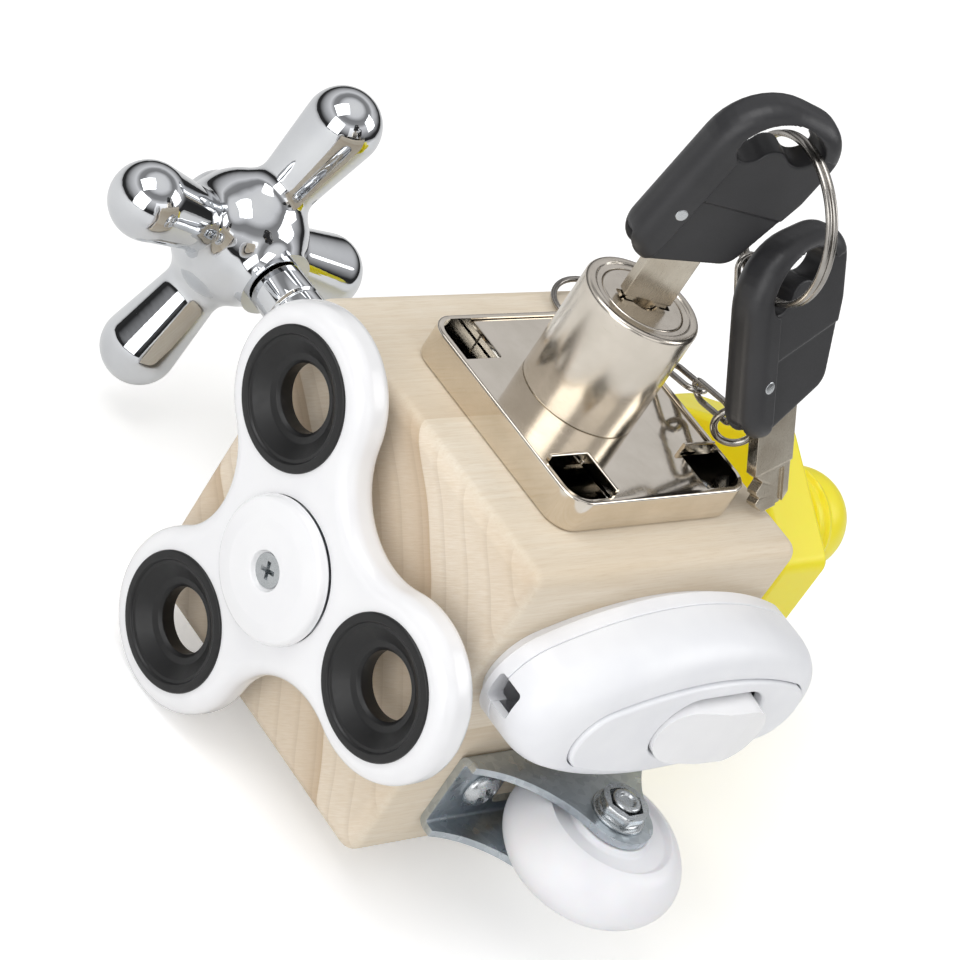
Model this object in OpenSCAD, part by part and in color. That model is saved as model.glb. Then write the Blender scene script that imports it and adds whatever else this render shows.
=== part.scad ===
// Wooden busy cube: a hardwood block with a toy on five of its faces.
// Origin: centre of the bare bottom face. +Z up to the lock, -Y spinner, +X switch and caster,
// -X tap handle, +Y toy bolt and nut.

/* [Block] */
// Edge length of the wooden block
block = 60; // [56:1:70]
// Radius of the block's softened edges
block_round = 2.6; // [1:0.1:4]

/* [Spinner] */
// Spinner axis, sideways from the block's middle
spin_x = -1; // [-3:0.5:3]
// Spinner axis, height above the base
spin_z = 31.5; // [28:0.5:36]
// Distance from the axis to each lobe's centre
spin_reach = 25.5; // [24:0.5:28]
// Radius of each lobe
lobe_r = 14.5; // [13.8:0.1:15.5]
// Thickness of the spinner's body
spin_thick = 6.8; // [6:0.1:8]
// Distance from the axis to the waist between two lobes
spin_waist = 16.6; // [15.5:0.1:18]
// Gap between the block and the back of the body
spin_gap = 3.9; // [3.2:0.1:6]
// Direction of the first lobe, in degrees from +X
spin_turn = 4; // [-10:1:10]
// Outer radius of the centre bearing
bearing_r = 11; // [10.5:0.1:11.5]
// Bore radius of the centre bearing
bearing_bore = 4; // [3.5:0.1:4.5]
// Width of the centre bearing
bearing_w = 6; // [5:0.1:7]
// Radius of the weight rings' open hole
ring_hole_r = 5.2; // [4.5:0.1:6]
// Radius of the finger caps
cap_r = 11.4; // [10:0.1:12]

/* [Lock] */
// Lock barrel axis, along X
lock_x = -0.5; // [-3:0.5:3]
// Lock barrel axis, along Y
lock_y = -0.5; // [-3:0.5:3]
// Length of the lock case along X
case_len = 40; // [38:0.5:42]
// Width of the lock case along Y
case_wid = 39.4; // [38:0.2:42]
// Height of the lock case
case_h = 6; // [5.8:0.1:7]
// Sheet thickness of the lock case
case_wall = 0.9; // [0.6:0.1:1.1]
// Outer corner radius of the lock case
case_round = 4.2; // [3:0.1:6]
// Radius of the barrel
barrel_r = 9.6; // [9:0.1:10.2]
// Height of the barrel's top above the block
barrel_top = 25.1; // [22:0.1:28]
// Radius of the plug that the key turns
plug_r = 6.8; // [6.4:0.1:7.2]
// Throw of the bolt when the key turns
bolt_throw = 6.4; // [5:0.1:7]

/* [Keys] */
// Direction of the keyway, in degrees from +Y towards +X
keyway_turn = 20; // [0:1:25]
// Width of the key blade
blade_w = 7.4; // [6.8:0.1:8]
// Thickness of the key blade
blade_t = 2; // [1.6:0.1:2.2]
// Height of the head's pin above the block with the key home
pin_rise = 42.8; // [41:0.2:46]
// Thickness of the key head at its spine
head_t = 7.2; // [7:0.1:9]
// Lean of the inserted key's head, in degrees
head_lean = 9; // [0:0.5:12]

/* [Ring and chain] */
// Mean radius of the split key ring
key_ring_r = 12.5; // [12:0.1:13.5]
// Wire radius of the split key ring
key_ring_wire = 0.5; // [0.4:0.05:0.6]
// Outer length of a chain link
link_len = 10.9; // [10.6:0.1:11.2]
// Outer width of a chain link
link_wid = 4.8; // [4.4:0.1:5.2]
// Wire radius of a chain link
link_wire = 0.5; // [0.4:0.05:0.55]
// Links between the screw eye and the joining ring
lower_links = 4; // [4:1:5]
// Links between the joining ring and the key ring
upper_links = 3; // [3:1:4]

/* [Switch] */
// Middle of the switch along Y
switch_y = 3; // [-1:0.5:5]
// Middle of the switch above the base
switch_z = 41.5; // [40.5:0.5:43]
// Length of the switch
switch_len = 63; // [60:0.5:64]
// Width of the switch
switch_wid = 27.6; // [26:0.2:28]
// Height of the switch off the block
switch_h = 16; // [15:0.1:18]
// Wall of the switch housing
switch_wall = 1.6; // [1.2:0.1:2]
// Tilt of the rocker at rest, in degrees
rocker_tilt = 7; // [5:0.5:8]

/* [Caster] */
// Middle of the caster along Y
caster_y = 2.5; // [0:0.5:4]
// Middle of the caster above the base
caster_z = 14; // [13:0.5:14.5]
// Length of the bracket's plate
bracket_len = 42; // [40:0.5:46]
// Height of the wheel's axle off the block
axle_h = 15.6; // [15.2:0.1:20]
// Radius of the bracket's round tips
tip_r = 6.2; // [5.5:0.1:7]
// Sheet thickness of the bracket
bracket_t = 1.3; // [1:0.1:1.6]
// Radius of the wheel's rolling face
wheel_r = 14.9; // [12:0.1:15]
// Clearance on each side of the wheel in its bracket
wheel_gap = 0.3; // [0.2:0.05:0.6]

/* [Tap handle] */
// Tap axis, sideways from the block's middle
tap_y = 0; // [-3:0.5:3]
// Tap axis, height above the base
tap_z = 32; // [28:0.5:34]
// Height of the tap off the block
tap_h = 55; // [52:0.5:58]
// Distance from the tap's axis to each ball's centre
tap_reach = 25.5; // [24:0.5:28]
// Radius of the balls at the handle's ends
ball_r = 6.6; // [6:0.1:7]
// Turn of the handle at rest, in degrees
tap_turn_rest = 18.5; // [0:0.5:45]
// Radius of the tap's spindle
spindle_r = 3; // [2.6:0.1:3.4]

/* [Toy bolt and nut] */
// Bolt axis, height above the base
bolt_z = 32; // [28:0.5:34]
// Height of the bolt off the block
bolt_h = 56.6; // [54:0.2:60]
// Radius over the bolt's thread
thread_r = 10.2; // [9.8:0.1:11]
// Depth of the thread
thread_depth = 1.1; // [0.8:0.1:1.3]
// Travel of the nut in one turn
thread_pitch = 3.3; // [3:0.1:4]
// Width over the flats of nut and head
hex_flats = 40.6; // [38:0.2:44]
// Thickness of the nut
nut_t = 12; // [10:0.5:14]
// Height of the nut's outer face off the block at rest
nut_top = 29; // [26:0.5:32]
// Thickness of the bolt's head
bolt_head_t = 8; // [6:0.5:10]

/* [Hidden] */
// All curved surfaces
$fn = 64;
// Overrun of every cut
over = 1;
// Gap between flat pieces that are screwed together
seat = 0.02;
// Radial clearance of a running fit
run_fit = 0.05;
// Clearance of a loose or blind fit
slack = 0.3;

wood = "burlywood";
white_plastic = "whitesmoke";
black_plastic = "#2a2a2c";
nickel = "#cfc9bd";
zinc = "silver";
chrome = "#d8dadd";
brass = "#c9a45a";
yellow = "gold";

half = block / 2;

// Frames on the faces: local Z points out of the face
module on_front(x, z) { translate([x, -half, z]) rotate([90, 0, 0]) children(); }
module on_back(x, z) { translate([x, half, z]) rotate([90, 0, 180]) children(); }
module on_right(y, z) { translate([half, y, z]) rotate([90, 0, 90]) children(); }
module on_left(y, z) { translate([-half, y, z]) rotate([90, 0, -90]) children(); }
module on_top(x, y) { translate([x, y, block]) children(); }

// Rectangle with round corners, centred
module round_rect(w, h, r) {
    square([w - 2 * r, h], center = true);
    square([w, h - 2 * r], center = true);
    for (sx = [-1, 1], sy = [-1, 1]) translate([sx * (w / 2 - r), sy * (h / 2 - r)]) circle(r);
}

// Points of an arc
function arc(cx, cy, r, a0, a1, steps) =
    [for (i = [0:steps]) let (a = a0 + (a1 - a0) * i / steps) [cx + r * cos(a), cy + r * sin(a)]];

// The same arc without its two end points
function inner_arc(cx, cy, r, a0, a1, steps) =
    [for (i = [1:steps - 1]) let (a = a0 + (a1 - a0) * i / steps) [cx + r * cos(a), cy + r * sin(a)]];

// Number of steps in a rounded edge's profile
edge_steps = 6;

// Disc whose two edges are rounded, standing on local Z = 0
module round_disc(r, h, e) {
    rotate_extrude() polygon(concat(
        [[0, 0]], arc(r - e, e, e, -90, 0, edge_steps), arc(r - e, h - e, e, 0, 90, edge_steps), [[0, h]]));
}

// Ring of round wire
module wire_ring(r, wire) { rotate_extrude() translate([r, 0]) circle(wire, $fn = 24); }

// Stadium link of round wire in the local XY plane, long along X
module wire_link(len, wid, wire) {
    bend = wid / 2 - wire;
    run = len - wid;
    for (s = [-1, 1]) {
        translate([s * run / 2, 0, 0]) rotate([0, 0, -s * 90])
            rotate_extrude(angle = 180) translate([bend, 0]) circle(wire, $fn = 24);
        translate([-run / 2, s * bend, 0]) rotate([0, 90, 0]) cylinder(h = run, r = wire, $fn = 24);
    }
}

// Countersunk wood screw, its head's top at local Z = 0, its tip downwards
screw_tip_share = 1.6;
module wood_screw(head_r, head_h, shank_r, len, slot_w, slot_d) {
    difference() {
        union() {
            translate([0, 0, -head_h]) cylinder(h = head_h, r1 = shank_r, r2 = head_r);
            translate([0, 0, -len]) cylinder(h = len - head_h / 2, r = shank_r);
            translate([0, 0, -len - screw_tip_share * shank_r])
                cylinder(h = screw_tip_share * shank_r, r1 = shank_r / 6, r2 = shank_r);
        }
        cross_recess(head_r, slot_w, slot_d);
    }
}

// Cross recess of a screw head, cut down from local Z = 0
module cross_recess(head_r, slot_w, slot_d) {
    for (a = [0, 90]) rotate([0, 0, a])
        translate([-head_r * 0.62, -slot_w / 2, -slot_d]) cube([head_r * 1.24, slot_w, slot_d + over]);
}

// The wooden block with its pilot holes

module block_solid() {
    intersection() {
        linear_extrude(block) round_rect(block, block, block_round);
        translate([0, half, half]) rotate([90, 0, 0]) linear_extrude(block) round_rect(block, block, block_round);
        translate([-half, 0, half]) rotate([90, 0, 90]) linear_extrude(block) round_rect(block, block, block_round);
    }
}

module wooden_block() {
    color(wood) difference() {
        block_solid();
        on_front(spin_x, spin_z) pilot(spin_screw_r, spin_screw_depth);
        on_left(tap_y, tap_z) pilot(tap_stud_r, tap_stud_depth);
        on_back(0, bolt_z) pilot(post_screw_r, post_screw_depth);
        on_top(lock_x, lock_y) lock_screw_places() pilot(lock_screw_r, lock_screw_depth);
        on_right(caster_y, caster_z) caster_screw_places() pilot(caster_screw_r, caster_screw_depth);
        on_right(switch_y, switch_z) switch_screw_places() pilot(switch_screw_r, switch_screw_depth);
        on_top(eye_x, eye_y) pilot(eye_shank_r, eye_depth);
    }
}

// Drilled hole in a face, a little wider and deeper than its screw
module pilot(r, depth) {
    translate([0, 0, -depth - slack]) cylinder(h = depth + slack + over, r = r + run_fit);
}

// Spinner

spin_screw_r = 1.9;
spin_screw_head_r = 2.7;
spin_screw_depth = 22;
// Radius of the rounded edges of the spinner's body
spin_edge = 1.7;
// Centre of each hollow between two lobes, from the lobes' radius, reach and waist
hollow_r = (spin_reach * spin_reach + spin_waist * spin_waist - spin_reach * spin_waist - lobe_r * lobe_r)
    / (2 * lobe_r - 2 * spin_waist + spin_reach);
hollow_at = spin_waist + hollow_r;
spin_front = spin_gap + spin_thick;
bearing_back = spin_gap + (spin_thick - bearing_w) / 2;
// Radial walls of the bearing's races
race_outer_wall = 2;
race_inner_wall = 1.6;
ball_track = (bearing_r - race_outer_wall + bearing_bore + race_inner_wall) / 2;
bearing_ball_r = (bearing_r - race_outer_wall - bearing_bore - race_inner_wall) / 2 - run_fit;
bearing_ball_count = 8;
ring_flange = 0.5;
ring_seat_r = bearing_r - 0.2;

module at_lobes() { for (i = [0:2]) rotate([0, 0, spin_turn + i * 120]) translate([spin_reach, 0, 0]) children(); }

// The outline between the lobes: straight lines through lobe and hollow centres
module spin_web() {
    polygon([for (i = [0:2], k = [0, 1])
        let (a = spin_turn + i * 120 + k * 60, d = k == 0 ? spin_reach : hollow_at) [d * cos(a), d * sin(a)]]);
}

// Cutter of one hollow: a post that flares where the body's edges are rounded
module hollow_cutter() {
    e = hollow_r - run_fit + spin_edge;
    rotate_extrude() polygon(concat(
        [[0, -over], [e, -over]],
        arc(e, spin_edge, spin_edge, 270, 180, edge_steps),
        arc(e, spin_thick - spin_edge, spin_edge, 180, 90, edge_steps),
        [[e, spin_thick + over], [0, spin_thick + over]]));
}

module spinner_body() {
    color(white_plastic) on_front(spin_x, spin_z) translate([0, 0, spin_gap]) difference() {
        union() {
            difference() {
                linear_extrude(spin_thick) spin_web();
                for (i = [0:2]) rotate([0, 0, spin_turn + 60 + i * 120]) translate([hollow_at, 0, 0]) hollow_cutter();
            }
            at_lobes() round_disc(lobe_r, spin_thick, spin_edge);
        }
        at_lobes() translate([0, 0, -over]) cylinder(h = spin_thick + 2 * over, r = ring_seat_r + run_fit);
        translate([0, 0, -over]) cylinder(h = spin_thick + 2 * over, r = bearing_r + run_fit / 2);
    }
}

// One weight ring: a pressed-in black ring, dished like a funnel down to its open hole
ring_rim = 1.5;
ring_dish = 1.9;
module spinner_rings() {
    color(black_plastic) on_front(spin_x, spin_z) at_lobes() translate([0, 0, spin_gap]) rotate_extrude() polygon([
        [ring_hole_r, ring_dish], [bearing_r - ring_rim - ring_flange, ring_flange / 2], [bearing_r - ring_rim, 0],
        [ring_seat_r, 0], [ring_seat_r, spin_thick], [bearing_r, spin_thick],
        [bearing_r, spin_thick + ring_flange], [bearing_r - ring_rim, spin_thick + ring_flange],
        [bearing_r - ring_rim - ring_flange, spin_thick - ring_flange / 2],
        [ring_hole_r, spin_thick - ring_dish]]);
}

// Half profile of a race with its ball groove
module race(r0, r1) {
    rotate_extrude() difference() {
        translate([r0, 0]) square([r1 - r0, bearing_w]);
        translate([ball_track, bearing_w / 2]) circle(bearing_ball_r + run_fit, $fn = 48);
    }
}
race_lip = 0.5;
module bearing_outer_race() {
    color(zinc) on_front(spin_x, spin_z) translate([0, 0, bearing_back])
        race(bearing_r - race_outer_wall - race_lip, bearing_r);
}
module bearing_inner_race() {
    color(zinc) on_front(spin_x, spin_z) translate([0, 0, bearing_back])
        race(bearing_bore, bearing_bore + race_inner_wall + race_lip);
}
module bearing_balls() {
    color(zinc) on_front(spin_x, spin_z) for (i = [0:bearing_ball_count - 1])
        rotate([0, 0, i * 360 / bearing_ball_count]) translate([ball_track, 0, bearing_back + bearing_w / 2])
            sphere(bearing_ball_r, $fn = 24);
}

// Finger caps: a shallow dome outside, a spigot in the bearing's bore inside
cap_t = 2.7;
cap_edge = 0.9;
spigot = bearing_w / 2 - 0.1;
cap_clear = 0.5;
module finger_cap(spigot_len) {
    union() {
        translate([0, 0, cap_clear]) round_disc(cap_r, cap_t, cap_edge);
        cylinder(h = cap_clear + cap_edge, r = bearing_bore + race_inner_wall);
        translate([0, 0, -spigot_len]) cylinder(h = spigot_len + cap_edge, r = bearing_bore - run_fit);
    }
}
cap_seat = bearing_back + bearing_w + seat;
module front_finger_cap() {
    color(white_plastic) on_front(spin_x, spin_z) difference() {
        translate([0, 0, cap_seat]) finger_cap(spigot);
        translate([0, 0, cap_seat - spigot - over])
            cylinder(h = spigot + cap_t + cap_clear + 2 * over, r = spin_screw_r + run_fit);
        translate([0, 0, cap_seat + cap_clear + cap_t - cap_sink])
            cylinder(h = cap_sink + over, r = spin_screw_head_r + slack);
        translate([0, 0, cap_seat + cap_clear + cap_t - cap_sink - spin_head_h])
            cylinder(h = spin_head_h, r1 = spin_screw_r + run_fit, r2 = spin_screw_head_r + run_fit);
    }
}
// The back cap: a thin flange and the collar that stands on the wood
back_flange_t = 2;
back_collar_r = 7;
module back_finger_cap() {
    color(white_plastic) on_front(spin_x, spin_z) difference() {
        union() {
            translate([0, 0, bearing_back - seat - cap_clear - back_flange_t]) round_disc(cap_r, back_flange_t, cap_edge);
            cylinder(h = bearing_back - seat - cap_clear, r = back_collar_r);
            cylinder(h = bearing_back - seat, r = bearing_bore + race_inner_wall);
            cylinder(h = bearing_back + spigot, r = bearing_bore - run_fit);
        }
        translate([0, 0, -over]) cylinder(h = bearing_back + spigot + 2 * over, r = spin_screw_r + run_fit);
    }
}
// How deep the screw's head sits in the cap, and the height of its cone
cap_sink = 0.6;
spin_head_h = 1.6;
module spinner_screw() {
    color(zinc) on_front(spin_x, spin_z) translate([0, 0, cap_seat + cap_clear + cap_t - cap_sink])
        wood_screw(spin_screw_head_r, spin_head_h, spin_screw_r,
            cap_seat + cap_clear + cap_t - cap_sink + spin_screw_depth - screw_tip_share * spin_screw_r, 0.7, 1);
}

// Lock

// Middle of the case from the barrel's axis
case_dx = 2.5;
case_dy = 0.6;
plate_t = 0.8;
plate_drop = 0.4;
plate_top = case_h - plate_drop;
barrel_bore = plug_r + run_fit;
barrel_neck_r = 8;
neck_len = 0.9;
bolt_gap = 0.25;
bolt_t = 1.6;
bolt_w = 12;
bolt_base = case_wall + bolt_gap;
cam_base = bolt_base + bolt_t + bolt_gap;
cam_t = 0.8;
cam_pin_r = 1.2;
// The pin's circle: the bolt's throw is the chord that a quarter turn spans
cam_pin_at = bolt_throw / sqrt(2);
cam_pin_rest = -45;
plug_base = cam_base + cam_t + seat;
key_slot_w = blade_w + 1.6;
key_slot_t = blade_t + 0.4;
key_depth = 17.5;

lock_screw_r = 1.3;
lock_screw_head_r = 2.9;
lock_screw_head_h = 1.5;
lock_screw_depth = 9;
// Screw places from the case's middle, as a share of the half sides
lock_screw_share = 0.78;
module lock_screw_places() {
    for (sx = [-1, 1], sy = [-1, 1])
        translate([case_dx + sx * lock_screw_share * case_len / 2, case_dy + sy * lock_screw_share * case_wid / 2, 0])
            children();
}
// Bottom tray of the lock, pressed from one sheet
module lock_case() {
    color(nickel) on_top(lock_x, lock_y) difference() {
        translate([case_dx, case_dy, 0]) difference() {
            linear_extrude(case_h) round_rect(case_len, case_wid, case_round);
            translate([0, 0, case_wall]) linear_extrude(case_h)
                round_rect(case_len - 2 * case_wall, case_wid - 2 * case_wall, case_round - case_wall);
        }
        lock_screw_places() translate([0, 0, -over]) cylinder(h = case_wall + 2 * over, r = lock_screw_r + run_fit);
        // slot for the bolt in the far wall
        translate([case_dx - case_len / 2 - over, -bolt_w / 2 - slack, bolt_base - bolt_gap + seat])
            cube([case_wall + 2 * over, bolt_w + 2 * slack, bolt_t + 2 * bolt_gap]);
    }
}

// Cut-outs in the cover plate's corners, with their turned-up lips
cutout = 8;
lip_h = 1.6;
lip_t = 0.6;
plate_half_x = case_len / 2 - case_wall - slack / 2;
plate_half_y = case_wid / 2 - case_wall - slack / 2;
module lock_cover_plate() {
    color(nickel) on_top(lock_x, lock_y) {
        difference() {
            translate([case_dx, case_dy, plate_top - plate_t]) linear_extrude(plate_t)
                round_rect(2 * plate_half_x, 2 * plate_half_y, case_round - case_wall);
            translate([0, 0, plate_top - plate_t - over]) cylinder(h = plate_t + 2 * over, r = barrel_neck_r + run_fit);
            for (s = [[-1, -1], [1, -1], [1, 1]]) translate([
                case_dx + s[0] * (plate_half_x - cutout / 2 + over / 2), case_dy + s[1] * (plate_half_y - cutout / 2 + over / 2),
                plate_top]) cube([cutout + over, cutout + over, 2 * (plate_t + over)], center = true);
        }
        // lips of the near corner and the right corner
        translate([case_dx + plate_half_x - cutout - lip_t, case_dy - plate_half_y, plate_top - plate_t])
            cube([lip_t, cutout - lip_t, plate_t + lip_h]);
        translate([case_dx + plate_half_x - cutout, case_dy - plate_half_y + cutout, plate_top - plate_t])
            cube([cutout - lip_t, lip_t, plate_t + lip_h]);
        translate([case_dx + plate_half_x - cutout - lip_t, case_dy + plate_half_y - cutout + lip_t, plate_top - plate_t])
            cube([lip_t, cutout - 2 * lip_t, plate_t + lip_h]);
    }
}

barrel_edge = 1.3;
module lock_barrel() {
    color(nickel) on_top(lock_x, lock_y) rotate_extrude() polygon(concat(
        [[barrel_bore, plate_top - plate_t - neck_len + plate_t], [barrel_neck_r, plate_top - neck_len],
         [barrel_neck_r, plate_top + seat], [barrel_r, plate_top + seat]],
        arc(barrel_r - barrel_edge, barrel_top - barrel_edge, barrel_edge, 0, 90, edge_steps),
        [[barrel_bore, barrel_top]]));
}

plug_drop = 0.3;
module key_slot(w, t, depth) { translate([-t / 2, -w / 2, -depth]) cube([t, w, depth + over]); }
module lock_plug() {
    color(nickel) on_top(lock_x, lock_y) difference() {
        translate([0, 0, plug_base]) cylinder(h = barrel_top - plug_drop - plug_base, r = plug_r);
        translate([0, 0, barrel_top - plug_drop]) rotate([0, 0, -keyway_turn]) {
            key_slot(key_slot_w, key_slot_t, key_depth + slack);
            translate([0, 0, -keyway_mouth]) cylinder(h = keyway_mouth + over, r = key_slot_t);
        }
    }
}
keyway_mouth = 1;
module lock_cam() {
    color(zinc) on_top(lock_x, lock_y) {
        translate([0, 0, cam_base]) cylinder(h = cam_t, r = cam_pin_at + cam_pin_r + pan_edge);
        rotate([0, 0, cam_pin_rest]) translate([cam_pin_at, 0, bolt_base + seat])
            cylinder(h = bolt_t + bolt_gap, r = cam_pin_r);
    }
}
// The sliding bolt with the cross slot that the cam's pin drives
bolt_tail = 9;
slot_play = 0.35;
bolt_nose = case_len / 2 - case_dx;
module lock_bolt() {
    color(zinc) on_top(lock_x, lock_y) difference() {
        translate([-bolt_nose, -bolt_w / 2, bolt_base]) cube([bolt_nose + bolt_tail, bolt_w, bolt_t]);
        translate([cam_pin_at * cos(cam_pin_rest), -cam_pin_at * (1 - cos(cam_pin_rest) / 3), bolt_base - over])
            linear_extrude(bolt_t + 2 * over)
                round_rect(2 * (cam_pin_r + slot_play), cam_pin_at + 2 * cam_pin_r, cam_pin_r + slot_play - seat);
    }
}
module lock_screws() {
    color(zinc) on_top(lock_x, lock_y) lock_screw_places() translate([0, 0, case_wall + seat])
        pan_screw(lock_screw_head_r, lock_screw_head_h, lock_screw_r, lock_screw_depth + case_wall);
}
// Screw whose head stands above local Z = 0
pan_slot_w = 0.7;
pan_slot_d = 0.8;
pan_edge = 0.5;
module pan_screw(head_r, head_h, shank_r, len) {
    difference() {
        union() {
            rotate_extrude() polygon(concat([[0, 0], [head_r, 0]],
                arc(head_r - pan_edge, head_h - pan_edge, pan_edge, 0, 90, edge_steps), [[0, head_h]]));
            translate([0, 0, -len]) cylinder(h = len + pan_edge, r = shank_r);
        }
        translate([0, 0, head_h]) cross_recess(head_r, pan_slot_w, pan_slot_d);
    }
}

// Keys. Local frame of a key: X across the blade's flat, Y across its width, Z along it to the head.
// The origin is the pin of the head; the blade's own middle lies at Y = blade_off.

blade_off = 5.5;
key_pin_r = 1.1;
tang_r = 2.9;
stop_w = blade_w + 1;
// Tip of the blade and the shoulder that stops it on the plug, below the pin
blade_tip = pin_rise - barrel_top + plug_drop + key_depth;
stop_low = pin_rise - barrel_top - slack;
tang_top = 0;
// Bitting: depth of each cut, as shares of the blade's width
cut_shares = [0.08, 0.2, 0.12, 0.26, 0.1, 0.18];
cut_pitch = 2.6;
tip_cut = 2.2;
module blade_outline() {
    difference() {
        union() {
            translate([blade_off - blade_w / 2, -blade_tip]) square([blade_w, blade_tip]);
            translate([blade_off - stop_w / 2, -stop_low]) square([stop_w, stop_low]);
            translate([0, -tang_r]) square([blade_off + stop_w / 2, tang_r + tang_top / 2]);
            circle(tang_r);
        }
        for (s = [-1, 1]) translate([blade_off + s * blade_w / 2, -blade_tip]) rotate([0, 0, 45])
            square(tip_cut, center = true);
        for (i = [0:len(cut_shares) - 1])
            translate([blade_off - blade_w / 2, -blade_tip + tip_cut + (i + 0.5) * cut_pitch]) rotate([0, 0, 45])
                square(2 * cut_shares[i] * blade_w / sqrt(2), center = true);
        circle(key_pin_r + run_fit);
    }
}
groove_w = 1.6;
groove_d = 0.5;
module blade_solid() {
    difference() {
        translate([-blade_t / 2, 0, 0]) rotate([90, 0, 90]) linear_extrude(blade_t) blade_outline();
        // milled groove along each flat
        for (s = [-1, 1]) translate([s * blade_t / 2, blade_off + groove_w / 2, -blade_tip - over])
            translate([-groove_d, 0, 0]) cube([2 * groove_d, groove_w, blade_tip - stop_low]);
    }
}

// Head outline around the pin, in the plane of the key
spine_left = 3.6;
head_right = 17.2;
head_top = 22.4;
head_low = 9.9;
head_low_right = 4.2;
crown_r = 10.5;
heel_r = 5;
side_r = 7;
flank_top = 9;
flank_lean = 10;
module head_outline() {
    difference() {
        union() {
            translate([-spine_left + crown_r, head_top - crown_r]) circle(crown_r);
            translate([head_right - side_r, head_top - side_r]) circle(side_r);
            translate([-spine_left + crown_r, 0]) square([head_right - side_r - crown_r + spine_left, head_top]);
            translate([-spine_left + crown_r, 0]) square([head_right - crown_r + spine_left, head_top - side_r]);
            translate([-spine_left, -head_low + heel_r])
                square([head_right + spine_left, head_top + head_low - heel_r - crown_r]);
            translate([-spine_left + heel_r, -head_low + heel_r]) circle(heel_r);
            translate([-spine_left + heel_r, -head_low]) square([head_right + spine_left - heel_r, heel_r + over]);
        }
        // free edge leaning in towards the lower end
        translate([head_right, flank_top]) rotate([0, 0, -flank_lean]) translate([0, -2 * head_top])
            square([head_top, 2 * head_top]);
        // slanted lower edge
        translate([-spine_left + heel_r, -head_low]) rotate([0, 0, lower_slope])
            translate([0, -head_right]) square([2 * head_right, head_right]);
    }
}
lower_slope = atan((head_low - head_low_right) / (head_right + spine_left - heel_r));

// Bean-shaped hole for the ring
bean_r = 5.2;
bean_w = 2.75;
bean_x = 7.4;
bean_y = 12.6;
bean_a0 = 55;
bean_a1 = 165;
module bean() {
    for (a = [bean_a0, bean_a1]) translate([bean_x + bean_r * cos(a), bean_y + bean_r * sin(a)]) circle(bean_w);
    intersection() {
        translate([bean_x, bean_y]) difference() {
            circle(bean_r + bean_w);
            circle(bean_r - bean_w);
        }
        translate([bean_x, bean_y]) polygon([[0, 0],
            for (a = [bean_a0, (bean_a0 + bean_a1) / 2, bean_a1]) 2 * bean_r * [cos(a), sin(a)]]);
    }
}

// The head: a thick rounded spine and crown round a thinner panel, slotted for the folding tang
panel_t = 5;
pocket_t = 3.8;
rim_w = 5;
slot_gap = 0.3;
recess_low = 2.6;
round_share = 0.46;
module head_solid() {
    difference() {
        intersection() {
            translate([-head_t / 2, 0, 0]) rotate([90, 0, 90]) linear_extrude(head_t) head_outline();
            // spine and free edge rounded
            translate([0, (head_right - spine_left) / 2, -head_low - over]) linear_extrude(head_top + head_low + 2 * over)
                round_rect(head_t, head_right + spine_left, head_t * round_share);
            // crown rounded
            translate([0, head_right + over, head_top - head_t]) rotate([90, 0, 0])
                linear_extrude(head_right + spine_left + 2 * over) crown_profile();
        }
        for (s = [-1, 1]) {
            // panel between spine, crown and lower edge
            translate([s * (panel_t / 2 + head_t / 2), 0, 0]) panel_cutter(head_t);
            // deeper pocket beside the folded blade
            translate([s * (pocket_t / 2 + head_t / 2), 0, 0]) pocket_cutter(head_t);
        }
        translate([-head_t, 0, 0]) rotate([90, 0, 90]) linear_extrude(2 * head_t) bean();
        // slot for the tang, open below and to the right
        translate([-blade_t / 2 - slot_gap, -tang_r - slot_gap, -head_low - over])
            cube([blade_t + 2 * slot_gap, head_right + spine_left + over, head_low + over + tang_r + slot_gap]);
        translate([-head_t, 0, 0]) rotate([0, 90, 0]) cylinder(h = 2 * head_t, r = key_pin_r + run_fit);
    }
}
// Cross-section of the head with a rounded top, its top at the thickness
module crown_profile() {
    e = head_t * round_share;
    translate([-head_t / 2, -head_top - head_low]) square([head_t, head_top + head_low + head_t - e]);
    translate([-head_t / 2 + e, 0]) square([head_t - 2 * e, head_t]);
    for (s = [-1, 1]) translate([s * (head_t / 2 - e), head_t - e]) circle(e);
}
// Cutter that leaves the spine and the crown standing
module panel_cutter(t) {
    translate([-t / 2, 0, 0]) rotate([90, 0, 90]) linear_extrude(t) {
        translate([rim_w - spine_left, -head_low - over])
            square([head_right + 2 * over, head_top + head_low - crown_r + over]);
        translate([-spine_left + crown_r, -over]) square([head_right, head_top - rim_w + over]);
        translate([-spine_left + crown_r, head_top - crown_r]) circle(crown_r - rim_w);
    }
}
module pocket_cutter(t) {
    translate([-t / 2, 0, 0]) rotate([90, 0, 90]) linear_extrude(t) intersection() {
        translate([rim_w - spine_left, -head_low - over]) square([head_right + 2 * over, head_low + head_top]);
        translate([rim_w - spine_left, recess_low]) rotate([0, 0, lower_slope / 2])
            translate([-head_right, -2 * head_right]) square([3 * head_right, 2 * head_right]);
    }
}
module pin_solid() {
    translate([-head_t / 2 + slot_gap, 0, 0]) rotate([0, 90, 0]) cylinder(h = head_t - 2 * slot_gap, r = key_pin_r);
}

// The key in the lock
module at_lock_key() { on_top(lock_x, lock_y) rotate([0, 0, -keyway_turn]) translate([0, -blade_off, pin_rise]) children(); }
module key_blade() { color(nickel) at_lock_key() blade_solid(); }
module key_head() { color(black_plastic) at_lock_key() rotate([-head_lean, 0, 0]) head_solid(); }
module key_pin() { color(zinc) at_lock_key() pin_solid(); }

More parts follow.
